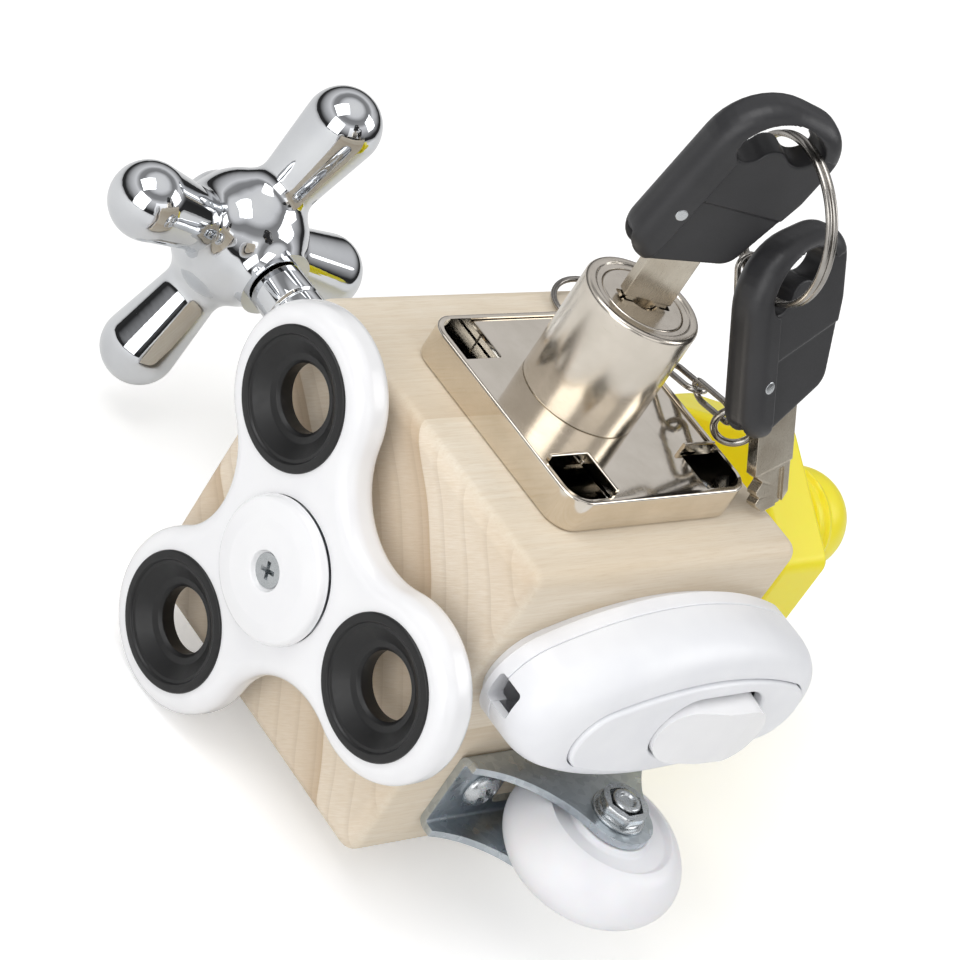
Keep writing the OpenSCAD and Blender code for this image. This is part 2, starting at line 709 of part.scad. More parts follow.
// The spare key leans on the block's top with its tip
spare_lean = [17.4, -21.4, 1.5];
spare_x = 13.91;
spare_y = 14.43;
spare_pin_rise = 21.55;
spare_blade_drop = 24.4;
module at_spare_key() { on_top(spare_x, spare_y) translate([0, 0, spare_pin_rise]) rotate(spare_lean) children(); }
module spare_key_blade() { color(nickel) at_spare_key() spare_blade_solid(); }
module spare_blade_solid() {
    // the same blade, a little shorter below its pin
    difference() {
        blade_solid();
        translate([-blade_w, blade_off - blade_w, -blade_tip - over]) cube([2 * blade_w, 2 * blade_w, blade_tip + over - spare_blade_drop]);
    }
}
module spare_key_head() { color(black_plastic) at_spare_key() head_solid(); }
module spare_key_pin() { color(zinc) at_spare_key() pin_solid(); }

// Split key ring through both heads
ring_x = 5.27;
ring_y = 9.8;
ring_rise = 45.86;
ring_lean = 76.2;
ring_head = 77.9;
module at_ring() { on_top(ring_x, ring_y) translate([0, 0, ring_rise]) rotate([0, ring_lean, ring_head]) children(); }
module key_ring() { color(zinc) at_ring() split_ring(key_ring_r, key_ring_wire); }
// Two coils of wire side by side
module split_ring(r, wire) { for (s = [-1, 1]) translate([0, 0, s * wire * coil_share]) wire_ring(r, wire); }
coil_share = 0.98;

// Chain

eye_x = -23.6;
eye_y = 27.3;
eye_shank_r = 1;
eye_depth = 8;
eye_wire = 0.75;
eye_r = 2.6;
module screw_eye() {
    color(zinc) on_top(eye_x, eye_y) {
        translate([0, 0, -eye_depth]) cylinder(h = eye_depth + eye_wire, r = eye_shank_r);
        translate([0, 0, eye_r + eye_wire]) rotate([90, 0, 90]) wire_ring(eye_r, eye_wire);
    }
}
// The small ring lies down from the screw eye towards the middle of the block
eye_ring_r = 5.2;
eye_ring_wire = 0.5;
eye_ring_lean = 14;
module eye_ring() {
    color(zinc) on_top(eye_x, eye_y) translate([0, 0, eye_r + eye_wire]) rotate([eye_ring_lean, 0, 0])
        translate([0, -eye_ring_r, 0]) wire_ring(eye_ring_r, eye_ring_wire);
}
joining_r = 3.2;
joining_wire = 0.6;
joining_x = 12.45;
joining_y = 20.85;
joining_rise = 9.9;
joining_lean = 91.7;
joining_head = -36.9;
module joining_ring() {
    color(zinc) on_top(joining_x, joining_y) translate([0, 0, joining_rise]) rotate([0, joining_lean, joining_head])
        wire_ring(joining_r, joining_wire);
}
// Ends of the two lengths of chain, above the block's top: on the small ring, on both sides of the joining
// ring and on the key ring
eye_hang = [-19.1, 24.78, 2.72];
join_hang_low = [10.86, 18.65, 11.6];
join_hang_up = [12.31, 20.5, 13.08];
ring_hang = [2.5, 13.32, 34.19];
lower_roll = 120;
lower_twist = 120;
upper_roll = 0;
upper_twist = 70;
// From a wire's middle to the inner end of the link around it
hang_gap = 1.1;
module chain_run(p, q, n, roll, twist) {
    way = q - p;
    span = norm(way);
    first = link_len / 2 - 2 * link_wire - hang_gap;
    on_top(0, 0) translate(p) rotate([0, -asin(way[2] / span), atan2(way[1], way[0])])
        for (i = [0:n - 1]) translate([first + i * (span - 2 * first) / (n - 1), 0, 0])
            rotate([roll + i * twist, 0, 0]) wire_link(link_len, link_wid, link_wire);
}
module lower_chain() { color(zinc) chain_run(eye_hang, join_hang_low, lower_links, lower_roll, lower_twist); }
module upper_chain() { color(zinc) chain_run(join_hang_up, ring_hang, upper_links, upper_roll, upper_twist); }

// Switch: an oval in-line rocker switch, long along Y

base_h = 4.2;
face_share = 0.84;
shell_mid = 8;
// Oval outline of four arcs, long along local X
oval_steps = 14;
module oval(len, wid) {
    end_r = wid * end_share;
    end_x = len / 2 - end_r;
    side_r = (end_x * end_x + wid * wid / 4 - end_r * end_r) / (wid - 2 * end_r);
    side_y = side_r - wid / 2;
    meet = atan2(side_y, end_x);
    polygon(concat(
        arc(end_x, 0, end_r, -meet, meet, oval_steps),
        inner_arc(0, -side_y, side_r, meet, 180 - meet, oval_steps),
        arc(-end_x, 0, end_r, 180 - meet, 180 + meet, oval_steps),
        inner_arc(0, side_y, side_r, 180 + meet, 360 - meet, oval_steps)));
}
end_share = 0.33;
switch_screw_r = 1.4;
switch_screw_depth = 10;
switch_screw_at = switch_len / 2 - 13;
module switch_screw_places() { for (s = [-1, 1]) translate([s * switch_screw_at, 0, 0]) children(); }

cord_hole = 5;
cord_hole_rise = 5.4;
module switch_base() {
    color(white_plastic) on_right(switch_y, switch_z) difference() {
        union() {
            linear_extrude(switch_wall) oval(switch_len - 2 * switch_wall, switch_wid - 2 * switch_wall);
            translate([0, 0, switch_wall]) linear_extrude(base_h - switch_wall - seat) oval(switch_len, switch_wid);
        }
        translate([0, 0, switch_wall]) linear_extrude(base_h)
            oval(switch_len - 4 * switch_wall, switch_wid - 4 * switch_wall);
        switch_screw_places() translate([0, 0, -over]) cylinder(h = switch_wall + 2 * over, r = switch_screw_r + run_fit);
        cord_cut();
    }
}
module cord_cut() {
    translate([-switch_len / 2 - over, -cord_hole / 2, cord_hole_rise - cord_hole / 2])
        cube([4 * switch_wall + 2 * over, cord_hole, cord_hole]);
}
// Housing: the oval standing up, its front edges rounded across and along
cover_round = 9;
cover_end_round = 12;
module shell(grow) {
    intersection() {
        translate([0, 0, base_h - (grow > 0 ? over : 0)]) linear_extrude(switch_h - base_h - grow + (grow > 0 ? over : 0))
            oval(switch_len - 2 * grow, switch_wid - 2 * grow);
        translate([-switch_len, 0, 0]) rotate([90, 0, 90]) linear_extrude(2 * switch_len)
            loaf(switch_wid - 2 * grow, switch_h - grow, cover_round - grow);
        translate([0, switch_wid, 0]) rotate([90, 0, 0]) linear_extrude(2 * switch_wid)
            loaf(switch_len - 2 * grow, switch_h - grow, cover_end_round - grow);
    }
}
// Profile with two round upper corners, standing on Y = 0
module loaf(w, h, r) {
    translate([-w / 2, -over]) square([w, h - r + over]);
    translate([-w / 2 + r, 0]) square([w - 2 * r, h]);
    for (s = [-1, 1]) translate([s * (w / 2 - r), h - r]) circle(r);
}
inlay_len = 46;
inlay_wid = 17;
module switch_cover() {
    color(white_plastic) on_right(switch_y, switch_z) difference() {
        shell(0);
        shell(switch_wall);
        translate([inlay_dx, inlay_dy, base_h - over]) linear_extrude(switch_h) oval(inlay_len, inlay_wid);
        cord_cut();
    }
}
inlay_dx = 2.5;
inlay_dy = -1;
rocker_len = 22;
rocker_wid = 11.6;
rocker_gap = 0.35;
module switch_inlay() {
    color(white_plastic) on_right(switch_y, switch_z) translate([inlay_dx, inlay_dy, 0]) difference() {
        translate([0, 0, switch_h - inlay_t]) linear_extrude(inlay_t - inlay_drop)
            oval(inlay_len - 2 * rocker_gap, inlay_wid - 2 * rocker_gap);
        translate([rocker_dx, 0, switch_h - inlay_t - over]) linear_extrude(inlay_t + 2 * over)
            round_rect(rocker_len + 2 * rocker_gap, rocker_wid + 2 * rocker_gap, rocker_wid / 2 - over);
    }
}
inlay_t = 2.4;
inlay_drop = 0.5;
rocker_dx = 3;
// Pivot of the rocker, height off the block
pivot_h = 10.5;
rocker_pin_r = 1;
module at_rocker() { on_right(switch_y + inlay_dx + rocker_dx, switch_z + inlay_dy) translate([0, 0, pivot_h]) children(); }
module switch_rocker() {
    color(white_plastic) at_rocker() rotate([0, -rocker_tilt, 0]) difference() {
        union() {
            intersection() {
                translate([0, 0, -2]) linear_extrude(switch_h) round_rect(rocker_len - 2 * rocker_gap, rocker_wid - 2 * rocker_gap, rocker_wid / 2 - over);
                translate([0, rocker_wid / 2, rocker_crown - rocker_crown_r]) rotate([90, 0, 0]) cylinder(h = rocker_wid, r = rocker_crown_r, $fn = 128);
            }
        }
        rotate([90, 0, 0]) translate([0, 0, -rocker_wid]) cylinder(h = 2 * rocker_wid, r = rocker_pin_r + run_fit);
    }
}
rocker_crown = 8;
rocker_crown_r = 40;
module rocker_pin() {
    color(zinc) at_rocker() rotate([90, 0, 0]) translate([0, 0, -rocker_wid / 2 - switch_wall])
        cylinder(h = rocker_wid + 2 * switch_wall, r = rocker_pin_r);
}
contact_w = 3.4;
contact_t = 0.8;
contact_h = 5;
contact_at = 7.5;
module switch_contacts() {
    color(brass) on_right(switch_y, switch_z) for (s = [-1, 1]) {
        translate([s * contact_at - contact_t / 2 + inlay_dx + rocker_dx, -contact_w / 2, switch_wall + seat]) cube([contact_t, contact_w, contact_h]);
        translate([s * contact_at - contact_w / 2 + inlay_dx + rocker_dx, -contact_w / 2, switch_wall + seat]) cube([contact_w, contact_w, contact_t]);
    }
}
module switch_screws() {
    color(zinc) on_right(switch_y, switch_z) switch_screw_places() translate([0, 0, switch_wall + seat])
        pan_screw(switch_screw_head_r, lock_screw_head_h, switch_screw_r, switch_screw_depth + switch_wall);
}
switch_screw_head_r = 2.6;

// Caster: a pressed bracket with two flanges round a plastic wheel

bracket_w = 15.4;
wheel_w = bracket_w - 2 * bracket_t - 2 * wheel_gap;
root_h = 3.2;
concave_r = 22;
// Centre of the concave side arc, from the tip's arc and the flange's root corner
root_half = bracket_len / 2;
to_root = norm([root_half, axle_h - root_h]);
side_reach = concave_r + tip_r;
side_angle = acos((side_reach * side_reach + to_root * to_root - concave_r * concave_r)
    / (2 * side_reach * to_root)) - atan((axle_h - root_h) / root_half);
side_x = side_reach * cos(side_angle);
side_y = axle_h + side_reach * sin(side_angle);
root_angle = atan2(root_h - side_y, root_half - side_x);
flange_steps = 12;
module flange_outline() {
    polygon(concat([[-root_half, 0], [root_half, 0]],
        arc(side_x, side_y, concave_r, root_angle, side_angle - 180, flange_steps),
        inner_arc(0, axle_h, tip_r, side_angle, 180 - side_angle, 2 * flange_steps),
        arc(-side_x, side_y, concave_r, -side_angle, -180 - root_angle, flange_steps)));
}
window_len = 17;
window_w = 9;
caster_screw_r = 1.7;
caster_screw_head_r = 3.4;
caster_screw_head_h = 1.9;
caster_screw_depth = 13;
caster_screw_at = 13.5;
module caster_screw_places() { for (s = [-1, 1]) translate([s * caster_screw_at, 0, 0]) children(); }
axle_r = 2.4;
module caster_bracket() {
    color(zinc) on_right(caster_y, caster_z) difference() {
        union() {
            translate([-root_half, -bracket_w / 2, 0]) cube([bracket_len, bracket_w, bracket_t]);
            for (s = [-1, 1]) translate([0, s * (bracket_w / 2 - bracket_t / 2) + bracket_t / 2, 0])
                rotate([90, 0, 0]) linear_extrude(bracket_t) flange_outline();
        }
        translate([0, 0, -over]) linear_extrude(bracket_t + 2 * over) round_rect(window_len, window_w, over);
        caster_screw_places() translate([0, 0, -over]) cylinder(h = bracket_t + 2 * over, r = caster_screw_r + slack);
        translate([0, bracket_w, axle_h]) rotate([90, 0, 0]) cylinder(h = 2 * bracket_w, r = axle_r + run_fit);
    }
}
bush_r = 3.6;
wheel_edge = 3.4;
crown = 0.9;
module caster_wheel() {
    color(white_plastic) on_right(caster_y, caster_z) translate([0, wheel_w / 2, axle_h]) rotate([90, 0, 0])
        rotate_extrude() polygon(concat(
            [[bush_r + run_fit, 0]],
            arc(wheel_r - crown - wheel_edge, wheel_edge, wheel_edge, -90, -20, edge_steps),
            [[wheel_r, wheel_w / 2]],
            arc(wheel_r - crown - wheel_edge, wheel_w - wheel_edge, wheel_edge, 20, 90, edge_steps),
            [[bush_r + run_fit, wheel_w]]));
}
bush_len = bracket_w - 2 * bracket_t - 2 * seat;
module caster_bush() {
    color(zinc) on_right(caster_y, caster_z) translate([0, bush_len / 2, axle_h]) rotate([90, 0, 0]) difference() {
        cylinder(h = bush_len, r = bush_r);
        translate([0, 0, -over]) cylinder(h = bush_len + 2 * over, r = axle_r + run_fit);
    }
}
bolt_head_r = 4.6;
bolt_head_h = 2;
bolt_stub = 4.4;
module caster_bolt() {
    color(zinc) on_right(caster_y, caster_z) translate([0, -bracket_w / 2 - seat, axle_h]) rotate([-90, 0, 0]) {
        translate([0, 0, -bolt_head_h]) round_disc(bolt_head_r, bolt_head_h, pan_edge);
        cylinder(h = bracket_w + bolt_stub, r = axle_r);
    }
}
nut_flats_r = 4;
nut_h = 3.4;
module caster_nut() {
    color(zinc) on_right(caster_y, caster_z) translate([0, bracket_w / 2 + seat, axle_h]) rotate([-90, 0, 0]) difference() {
        union() {
            cylinder(h = pan_edge, r = nut_flats_r + pan_edge);
            cylinder(h = nut_h, r = nut_flats_r, $fn = 6);
        }
        translate([0, 0, -over]) cylinder(h = nut_h + 2 * over, r = axle_r + run_fit);
    }
}
module caster_screws() {
    color(zinc) on_right(caster_y, caster_z) caster_screw_places() translate([0, 0, bracket_t + seat])
        pan_screw(caster_screw_head_r, caster_screw_head_h, caster_screw_r, caster_screw_depth + bracket_t);
}

// Tap

tap_stud_r = 3;
// Height of the cap over the handle's screw
cap_rise = 5;
cap_dome = 2.6;
cap_wall = 1.3;
cap_well_r = 6;
screw_drop = 0.5;
tap_stud_depth = 16;
bell_r = 13;
bell_h = 10;
bell_neck_r = 7.6;
collar_r = 8.8;
collar_low = bell_h + seat;
collar_top = 18;
handle_low = 31;
hub_r = 11.5;
hub_at = 42.5;
arm_hub_r = 4.6;
arm_neck_r = 6.3;
// Where an arm starts inside the hub's wall
arm_start = 8;
module tap_escutcheon() {
    color(chrome) on_left(tap_y, tap_z) difference() {
        rotate_extrude() polygon(concat(
            [[0, 0], [bell_r, 0], [bell_r, over]],
            [for (i = [1:edge_steps]) let (t = i / edge_steps)
                [bell_neck_r + (bell_r - bell_neck_r) * (1 - sin(90 * t)), over + (bell_h - 2 * over) * (1 - cos(90 * t))]],
            [[bell_neck_r, bell_h], [0, bell_h]]));
        translate([0, 0, -over]) cylinder(h = bell_h + 2 * over, r = spindle_r + run_fit);
    }
}
collar_wall_r = 7.2;
module tap_collar() {
    color(chrome) on_left(tap_y, tap_z) difference() {
        union() {
            translate([0, 0, collar_low]) round_disc(collar_r, (collar_top - collar_low) * 0.6, pan_edge);
            translate([0, 0, collar_low]) round_disc(collar_wall_r, collar_top - collar_low, pan_edge);
        }
        translate([0, 0, collar_low - over]) cylinder(h = collar_top, r = spindle_r + run_fit);
    }
}
spindle_top = 47.5;
sleeve_r = 4.8;
module tap_spindle() {
    color(chrome) on_left(tap_y, tap_z) {
        translate([0, 0, -tap_stud_depth]) cylinder(h = tap_stud_depth + spindle_top, r = spindle_r);
        translate([0, 0, collar_top + seat]) cylinder(h = handle_low - collar_top - 2 * seat - slack, r = sleeve_r);
    }
}
handle_foot_r = 6.5;
module tap_handle() {
    color(chrome) on_left(tap_y, tap_z) {
        rotate_extrude() polygon(concat(
            [[spindle_r + run_fit, handle_low], [handle_foot_r - over, handle_low], [handle_foot_r, handle_low + over]],
            arc(0, hub_at, hub_r, -hub_low_angle, hub_top_angle, 2 * edge_steps),
            [[cap_well_r, hub_at + hub_r * sin(hub_top_angle)], [cap_well_r, spindle_top + screw_drop],
             [spindle_r + run_fit, spindle_top + screw_drop]]));
        for (i = [0:3]) rotate([0, 0, tap_turn_rest + i * 90]) translate([0, 0, hub_at]) rotate([0, 90, 0]) handle_arm();
    }
}
// Angles of the hub's ball between its foot and its well
hub_low_angle = acos(handle_foot_r / hub_r);
hub_top_angle = acos((cap_well_r + cap_wall) / hub_r);
// One arm with its ball, revolved about the arm's own axis
arm_meet = asin(arm_neck_r / ball_r);
module handle_arm() {
    rotate_extrude($fn = 40) polygon(concat([[0, arm_start], [arm_hub_r, arm_start]],
        [for (i = [0:8]) let (a = 180 - arm_meet - i * (180 - arm_meet) / 8) [ball_r * sin(a), tap_reach + ball_r * cos(a)]]));
}
tap_screw_r = 1.5;
tap_screw_head_r = 4.2;
tap_screw_head_h = 1.8;
module tap_handle_screw() {
    color(zinc) on_left(tap_y, tap_z) translate([0, 0, spindle_top + screw_drop + seat]) {
        pan_screw(tap_screw_head_r, tap_screw_head_h, tap_screw_r, screw_drop);
    }
}
module cap_solid() {
    rotate_extrude() polygon(concat(
        [[0, 0], [cap_well_r - run_fit, 0]],
        arc(cap_well_r - run_fit - cap_dome, cap_rise - cap_dome, cap_dome, 0, 90, edge_steps), [[0, cap_rise]]));
}
module tap_cap() {
    color(chrome) on_left(tap_y, tap_z) translate([0, 0, tap_h - cap_rise]) cap_solid();
}
// Toy bolt and nut

post_screw_r = 2;
post_screw_head_r = 3.8;
post_screw_head_h = 2.4;
post_screw_depth = 18;
core_r = thread_r - thread_depth;
dome_h = 9;
post_bore_r = 5;
post_floor = 5;
hex_round = 3;
module hexagon(flats) {
    corner = (flats / 2 - hex_round) / cos(30);
    polygon([for (i = [0:5]) let (c = 30 + i * 60)
        each arc(corner * cos(c), corner * sin(c), hex_round, c - 30, c + 30, edge_steps)]);
}
thread_low = bolt_head_t + 2;
thread_top = bolt_h - dome_h;
thread_turns = floor((thread_top - thread_low) / thread_pitch);
thread_side = 0.32;
module toy_bolt() {
    color(yellow) on_back(0, bolt_z) difference() {
        union() {
            linear_extrude(bolt_head_t) hexagon(hex_flats);
            cylinder(h = bolt_h - dome_h, r = core_r);
            translate([0, 0, thread_top - over]) dome();
            for (i = [0:thread_turns - 1]) translate([0, 0, thread_low + (i + 0.5) * thread_pitch]) thread_ridge();
        }
        translate([0, 0, -over]) cylinder(h = post_floor + 2 * over, r = post_screw_r + run_fit);
        translate([0, 0, post_floor]) cylinder(h = bolt_h - dome_h - post_floor, r = post_bore_r);
    }
}
module dome() {
    rotate_extrude() polygon(concat([[0, 0], [core_r, 0]],
        [for (i = [0:12]) let (a = i * 90 / 12) [core_r * cos(a), over + dome_h * sin(a)]]));
}
module thread_ridge() {
    rotate_extrude() polygon([
        [core_r - thread_depth, -thread_pitch * thread_side], [core_r, -thread_pitch * thread_side],
        [thread_r, -thread_pitch * thread_side / 3], [thread_r, thread_pitch * thread_side / 3],
        [core_r, thread_pitch * thread_side], [core_r - thread_depth, thread_pitch * thread_side]]);
}
liner_wall = 1.2;
liner_r = thread_r + slack + liner_wall;
nut_chamfer = 1.4;
module toy_nut() {
    color(yellow) on_back(0, bolt_z) translate([0, 0, nut_top - nut_t]) difference() {
        linear_extrude(nut_t) hexagon(hex_flats);
        translate([0, 0, -over]) cylinder(h = nut_t + 2 * over, r = liner_r + run_fit);
    }
}
module nut_liner() {
    color(yellow) on_back(0, bolt_z) translate([0, 0, nut_top - nut_t]) difference() {
        cylinder(h = nut_t, r = liner_r);
        translate([0, 0, -over]) cylinder(h = nut_t + 2 * over, r = thread_r + slack);
    }
}
module toy_bolt_screw() {
    color(zinc) on_back(0, bolt_z) translate([0, 0, post_floor + seat])
        pan_screw(post_screw_head_r, post_screw_head_h, post_screw_r, post_screw_depth + post_floor);
}

wooden_block();
spinner_body();
spinner_rings();
bearing_outer_race();
bearing_inner_race();
bearing_balls();
front_finger_cap();
back_finger_cap();
spinner_screw();
lock_case();
lock_cover_plate();
lock_barrel();
lock_plug();
lock_cam();
lock_bolt();
lock_screws();
key_blade();
key_head();
key_pin();
spare_key_blade();
spare_key_head();
spare_key_pin();
key_ring();
upper_chain();
joining_ring();
lower_chain();
eye_ring();
screw_eye();
switch_base();
switch_cover();
switch_inlay();
switch_rocker();
rocker_pin();
switch_contacts();
switch_screws();
caster_bracket();
caster_wheel();
caster_bush();
caster_bolt();
caster_nut();
caster_screws();
tap_escutcheon();
tap_collar();
tap_spindle();
tap_handle();
tap_handle_screw();
tap_cap();
toy_bolt();
toy_nut();
nut_liner();
toy_bolt_screw();
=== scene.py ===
import math
import bpy, bmesh
import numpy as np
from mathutils import Matrix, Vector
from mathutils.geometry import tessellate_polygon


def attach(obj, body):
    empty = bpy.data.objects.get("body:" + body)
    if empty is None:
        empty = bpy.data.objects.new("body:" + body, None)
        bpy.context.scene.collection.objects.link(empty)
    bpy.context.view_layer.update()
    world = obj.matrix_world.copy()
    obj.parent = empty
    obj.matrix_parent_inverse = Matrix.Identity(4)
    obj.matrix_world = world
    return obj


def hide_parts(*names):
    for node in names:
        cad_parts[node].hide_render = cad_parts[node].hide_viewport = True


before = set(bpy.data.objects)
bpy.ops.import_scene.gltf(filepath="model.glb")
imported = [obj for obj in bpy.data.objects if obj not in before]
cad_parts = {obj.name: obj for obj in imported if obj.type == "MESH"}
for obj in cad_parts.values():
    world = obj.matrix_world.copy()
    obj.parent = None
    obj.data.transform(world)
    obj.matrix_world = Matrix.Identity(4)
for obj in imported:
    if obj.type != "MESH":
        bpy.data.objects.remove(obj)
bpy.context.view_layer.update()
scene = bpy.context.scene
scene.view_settings.view_transform = "Standard"
print("frame loaded")

# Places on the cube, in millimetres
block = {"edge": 60.0, "softEdge": 2.6, "edgeSteps": 6}
half = block["edge"] / 2


def onFront(x, z):
    return Matrix(((1, 0, 0, x), (0, 0, -1, -half), (0, 1, 0, z), (0, 0, 0, 1)))


def onBack(x, z):
    return Matrix(((-1, 0, 0, x), (0, 0, 1, half), (0, 1, 0, z), (0, 0, 0, 1)))


def onRight(y, z):
    return Matrix(((0, 0, 1, half), (1, 0, 0, y), (0, 1, 0, z), (0, 0, 0, 1)))


def onLeft(y, z):
    return Matrix(((0, 0, -1, -half), (-1, 0, 0, y), (0, 1, 0, z), (0, 0, 0, 1)))


def onTop(x, y, up=0.0):
    return Matrix.Translation((x, y, block["edge"] + up))


def spun(axis, degrees):
    return Matrix.Rotation(math.radians(degrees), 4, axis)


def moved(x, y, z):
    return Matrix.Translation((x, y, z))


# Adds a node, for shaders and geometry alike, with its settings and what feeds its inputs: values, sockets,
# or nodes that stand for their first output, in order or by name or number
def node(tree, kind, feeds=(), **settings):
    made = tree.nodes.new(kind)
    for key, value in settings.items():
        setattr(made, key, value)
    for key, value in feeds.items() if isinstance(feeds, dict) else enumerate(feeds):
        target = made.inputs[key]
        value = value.outputs[0] if isinstance(value, bpy.types.Node) else value
        if isinstance(value, bpy.types.NodeSocket):
            tree.links.new(value, target)
        else:
            target.default_value = value
    return made


def linear(code):
    parts = [int(code[i:i + 2], 16) / 255 for i in (1, 3, 5)]
    return tuple(c / 12.92 if c <= 0.04045 else ((c + 0.055) / 1.055) ** 2.4 for c in parts) + (1.0,)


def shaded(name, **sockets):
    made = bpy.data.materials.new(name)
    made.use_nodes = True
    tree = made.node_tree
    tree.nodes.clear()
    shader = node(tree, "ShaderNodeBsdfPrincipled", sockets)
    out = node(tree, "ShaderNodeOutputMaterial")
    tree.links.new(shader.outputs[0], out.inputs[0])
    return made, tree, shader


def inMillimetres(tree, stretch=(1, 1, 1)):
    place = node(tree, "ShaderNodeTexCoord").outputs["Object"]
    scale = tuple(1000 * s for s in stretch)
    return node(tree, "ShaderNodeMapping", {"Vector": place, "Scale": scale}).outputs[0]


# Lays colours over a first one. A layer has its pattern, from where to where it counts, how far it covers at
# most, and its colour
def layered(tree, colour, *layers):
    for pattern, low, high, most, tint in layers:
        share = node(tree, "ShaderNodeMapRange", (pattern, low, high, 0, most))
        colour = node(tree, "ShaderNodeMix", {0: share, 6: colour, 7: linear(tint)}, data_type="RGBA").outputs[2]
    return colour


# Beech, planed and sanded, left without lacquer: pale long grain with fine streaks, warmer end grain
# with wide growth lines and short strokes of the medullary rays across them. The end grain's colours are
# also painted lighter than its own tone: painted light that lifts the shade on the front face under the spinner
def makeBeech():
    look = {"ringCentre": (-99, 0, -69), "ringPitch": 21.9, "firstRing": 161.2}
    made, tree, shader = shaded("beechSanded", Roughness=0.62, **{"Specular IOR Level": 0.3})
    where = inMillimetres(tree)
    drift = node(tree, "ShaderNodeTexNoise", {"Vector": inMillimetres(tree, (0.03, 0.006, 0.03)), "Scale": 1.0,
        "Detail": 2.0, "Roughness": 0.55})
    parts = node(tree, "ShaderNodeSeparateXYZ", (where,))
    flat = node(tree, "ShaderNodeCombineXYZ", {0: parts, 2: parts.outputs[2]})
    away = node(tree, "ShaderNodeVectorMath", (flat, look["ringCentre"]), operation="DISTANCE").outputs["Value"]
    away = node(tree, "ShaderNodeMath", (away, node(tree, "ShaderNodeMapRange", (drift, 0, 1, -2.2, 2.2))),
        operation="ADD")
    turns = node(tree, "ShaderNodeMath", (away, look["firstRing"]), operation="SUBTRACT")
    turns = node(tree, "ShaderNodeMath", (turns, look["ringPitch"]), operation="DIVIDE")
    ring = node(tree, "ShaderNodeMath", (turns, 20.0), operation="ADD")
    ring = node(tree, "ShaderNodeMath", (ring,), operation="FRACT")
    fine = node(tree, "ShaderNodeMath", (turns, 5.0), operation="MULTIPLY")
    fine = node(tree, "ShaderNodeMath", (fine, 100.3), operation="ADD")
    fine = node(tree, "ShaderNodeMath", (fine,), operation="FRACT")
    late = node(tree, "ShaderNodeValToRGB", (ring,))
    stops = late.color_ramp
    stops.elements[0].position, stops.elements[0].color = 0.0, (0.25, 0.25, 0.25, 1)
    stops.elements[1].position, stops.elements[1].color = 1.0, (1, 1, 1, 1)
    for at, value in ((0.02, 0.1), (0.35, 0.12), (0.8, 0.42), (0.965, 0.85)):
        stop = stops.elements.new(at)
        stop.color = (value, value, value, 1)
    streaks = node(tree, "ShaderNodeTexNoise", {"Vector": inMillimetres(tree, (1.3, 0.045, 1.3)), "Scale": 1.0,
        "Detail": 5.0, "Roughness": 0.6})
    threads = node(tree, "ShaderNodeTexNoise", {"Vector": inMillimetres(tree, (5.0, 0.25, 5.0)), "Scale": 1.0,
        "Detail": 3.0, "Roughness": 0.6})
    clouds = node(tree, "ShaderNodeTexNoise", {"Vector": where, "Scale": 0.035, "Detail": 3.0, "Roughness": 0.55})
    # rays: strokes along the diagonal, seen as strokes on the end grain
    turned = (0, math.radians(45), 0)
    slanted = node(tree, "ShaderNodeMapping", {"Vector": where, "Rotation": turned})
    slanted = node(tree, "ShaderNodeMapping", {"Vector": slanted, "Scale": (0.35, 1.2, 4.2)}).outputs[0]
    rays = node(tree, "ShaderNodeTexNoise", {"Vector": slanted, "Scale": 1.0, "Detail": 4.0, "Roughness": 0.62})
    side = node(tree, "ShaderNodeTexCoord")
    facing = node(tree, "ShaderNodeSeparateXYZ", (side.outputs["Normal"],))
    endGrain = node(tree, "ShaderNodeMath", (facing.outputs[1],), operation="ABSOLUTE")
    endGrain = node(tree, "ShaderNodeMapRange", (endGrain, 0.45, 0.8, 0, 1))
    long = layered(tree, linear("#f7efe0"), (streaks, 0.3, 0.72, 1, "#ebdec9"), (late, 0, 1, 0.5, "#cdb594"),
        (threads, 0.5, 0.8, 0.35, "#c4ab8b"))
    # end grain: its own warmer tone, rings and rays, with the base colours painted lighter as painted light against
    # the shade under the spinner
    ends = layered(tree, linear("#f5ebdc"), (rays, 0.3, 0.7, 1, "#e8d9c3"), (late, 0, 1, 0.75, "#b89c7b"),
        (fine, 0.75, 1.0, 0.18, "#9c8263"))
    colour = node(tree, "ShaderNodeMix", {0: endGrain, 6: long, 7: ends}, data_type="RGBA").outputs[2]
    colour = layered(tree, colour, (clouds, 0.35, 0.7, 0.3, "#d9c3a2"))
    tree.links.new(colour, shader.inputs["Base Color"])
    tree.links.new(node(tree, "ShaderNodeMapRange", (streaks, 0.3, 0.8, 0.55, 0.72)).outputs[0],
        shader.inputs["Roughness"])
    strokes = node(tree, "ShaderNodeMath", (rays, endGrain), operation="MULTIPLY")
    relief = node(tree, "ShaderNodeMath", (threads, 0.6), operation="MULTIPLY")
    relief = node(tree, "ShaderNodeMath", (relief, strokes), operation="ADD")
    bump = node(tree, "ShaderNodeBump", {"Height": relief, "Strength": 0.35, "Distance": 0.12 / 1000})
    tree.links.new(bump.outputs[0], shader.inputs["Normal"])
    return made


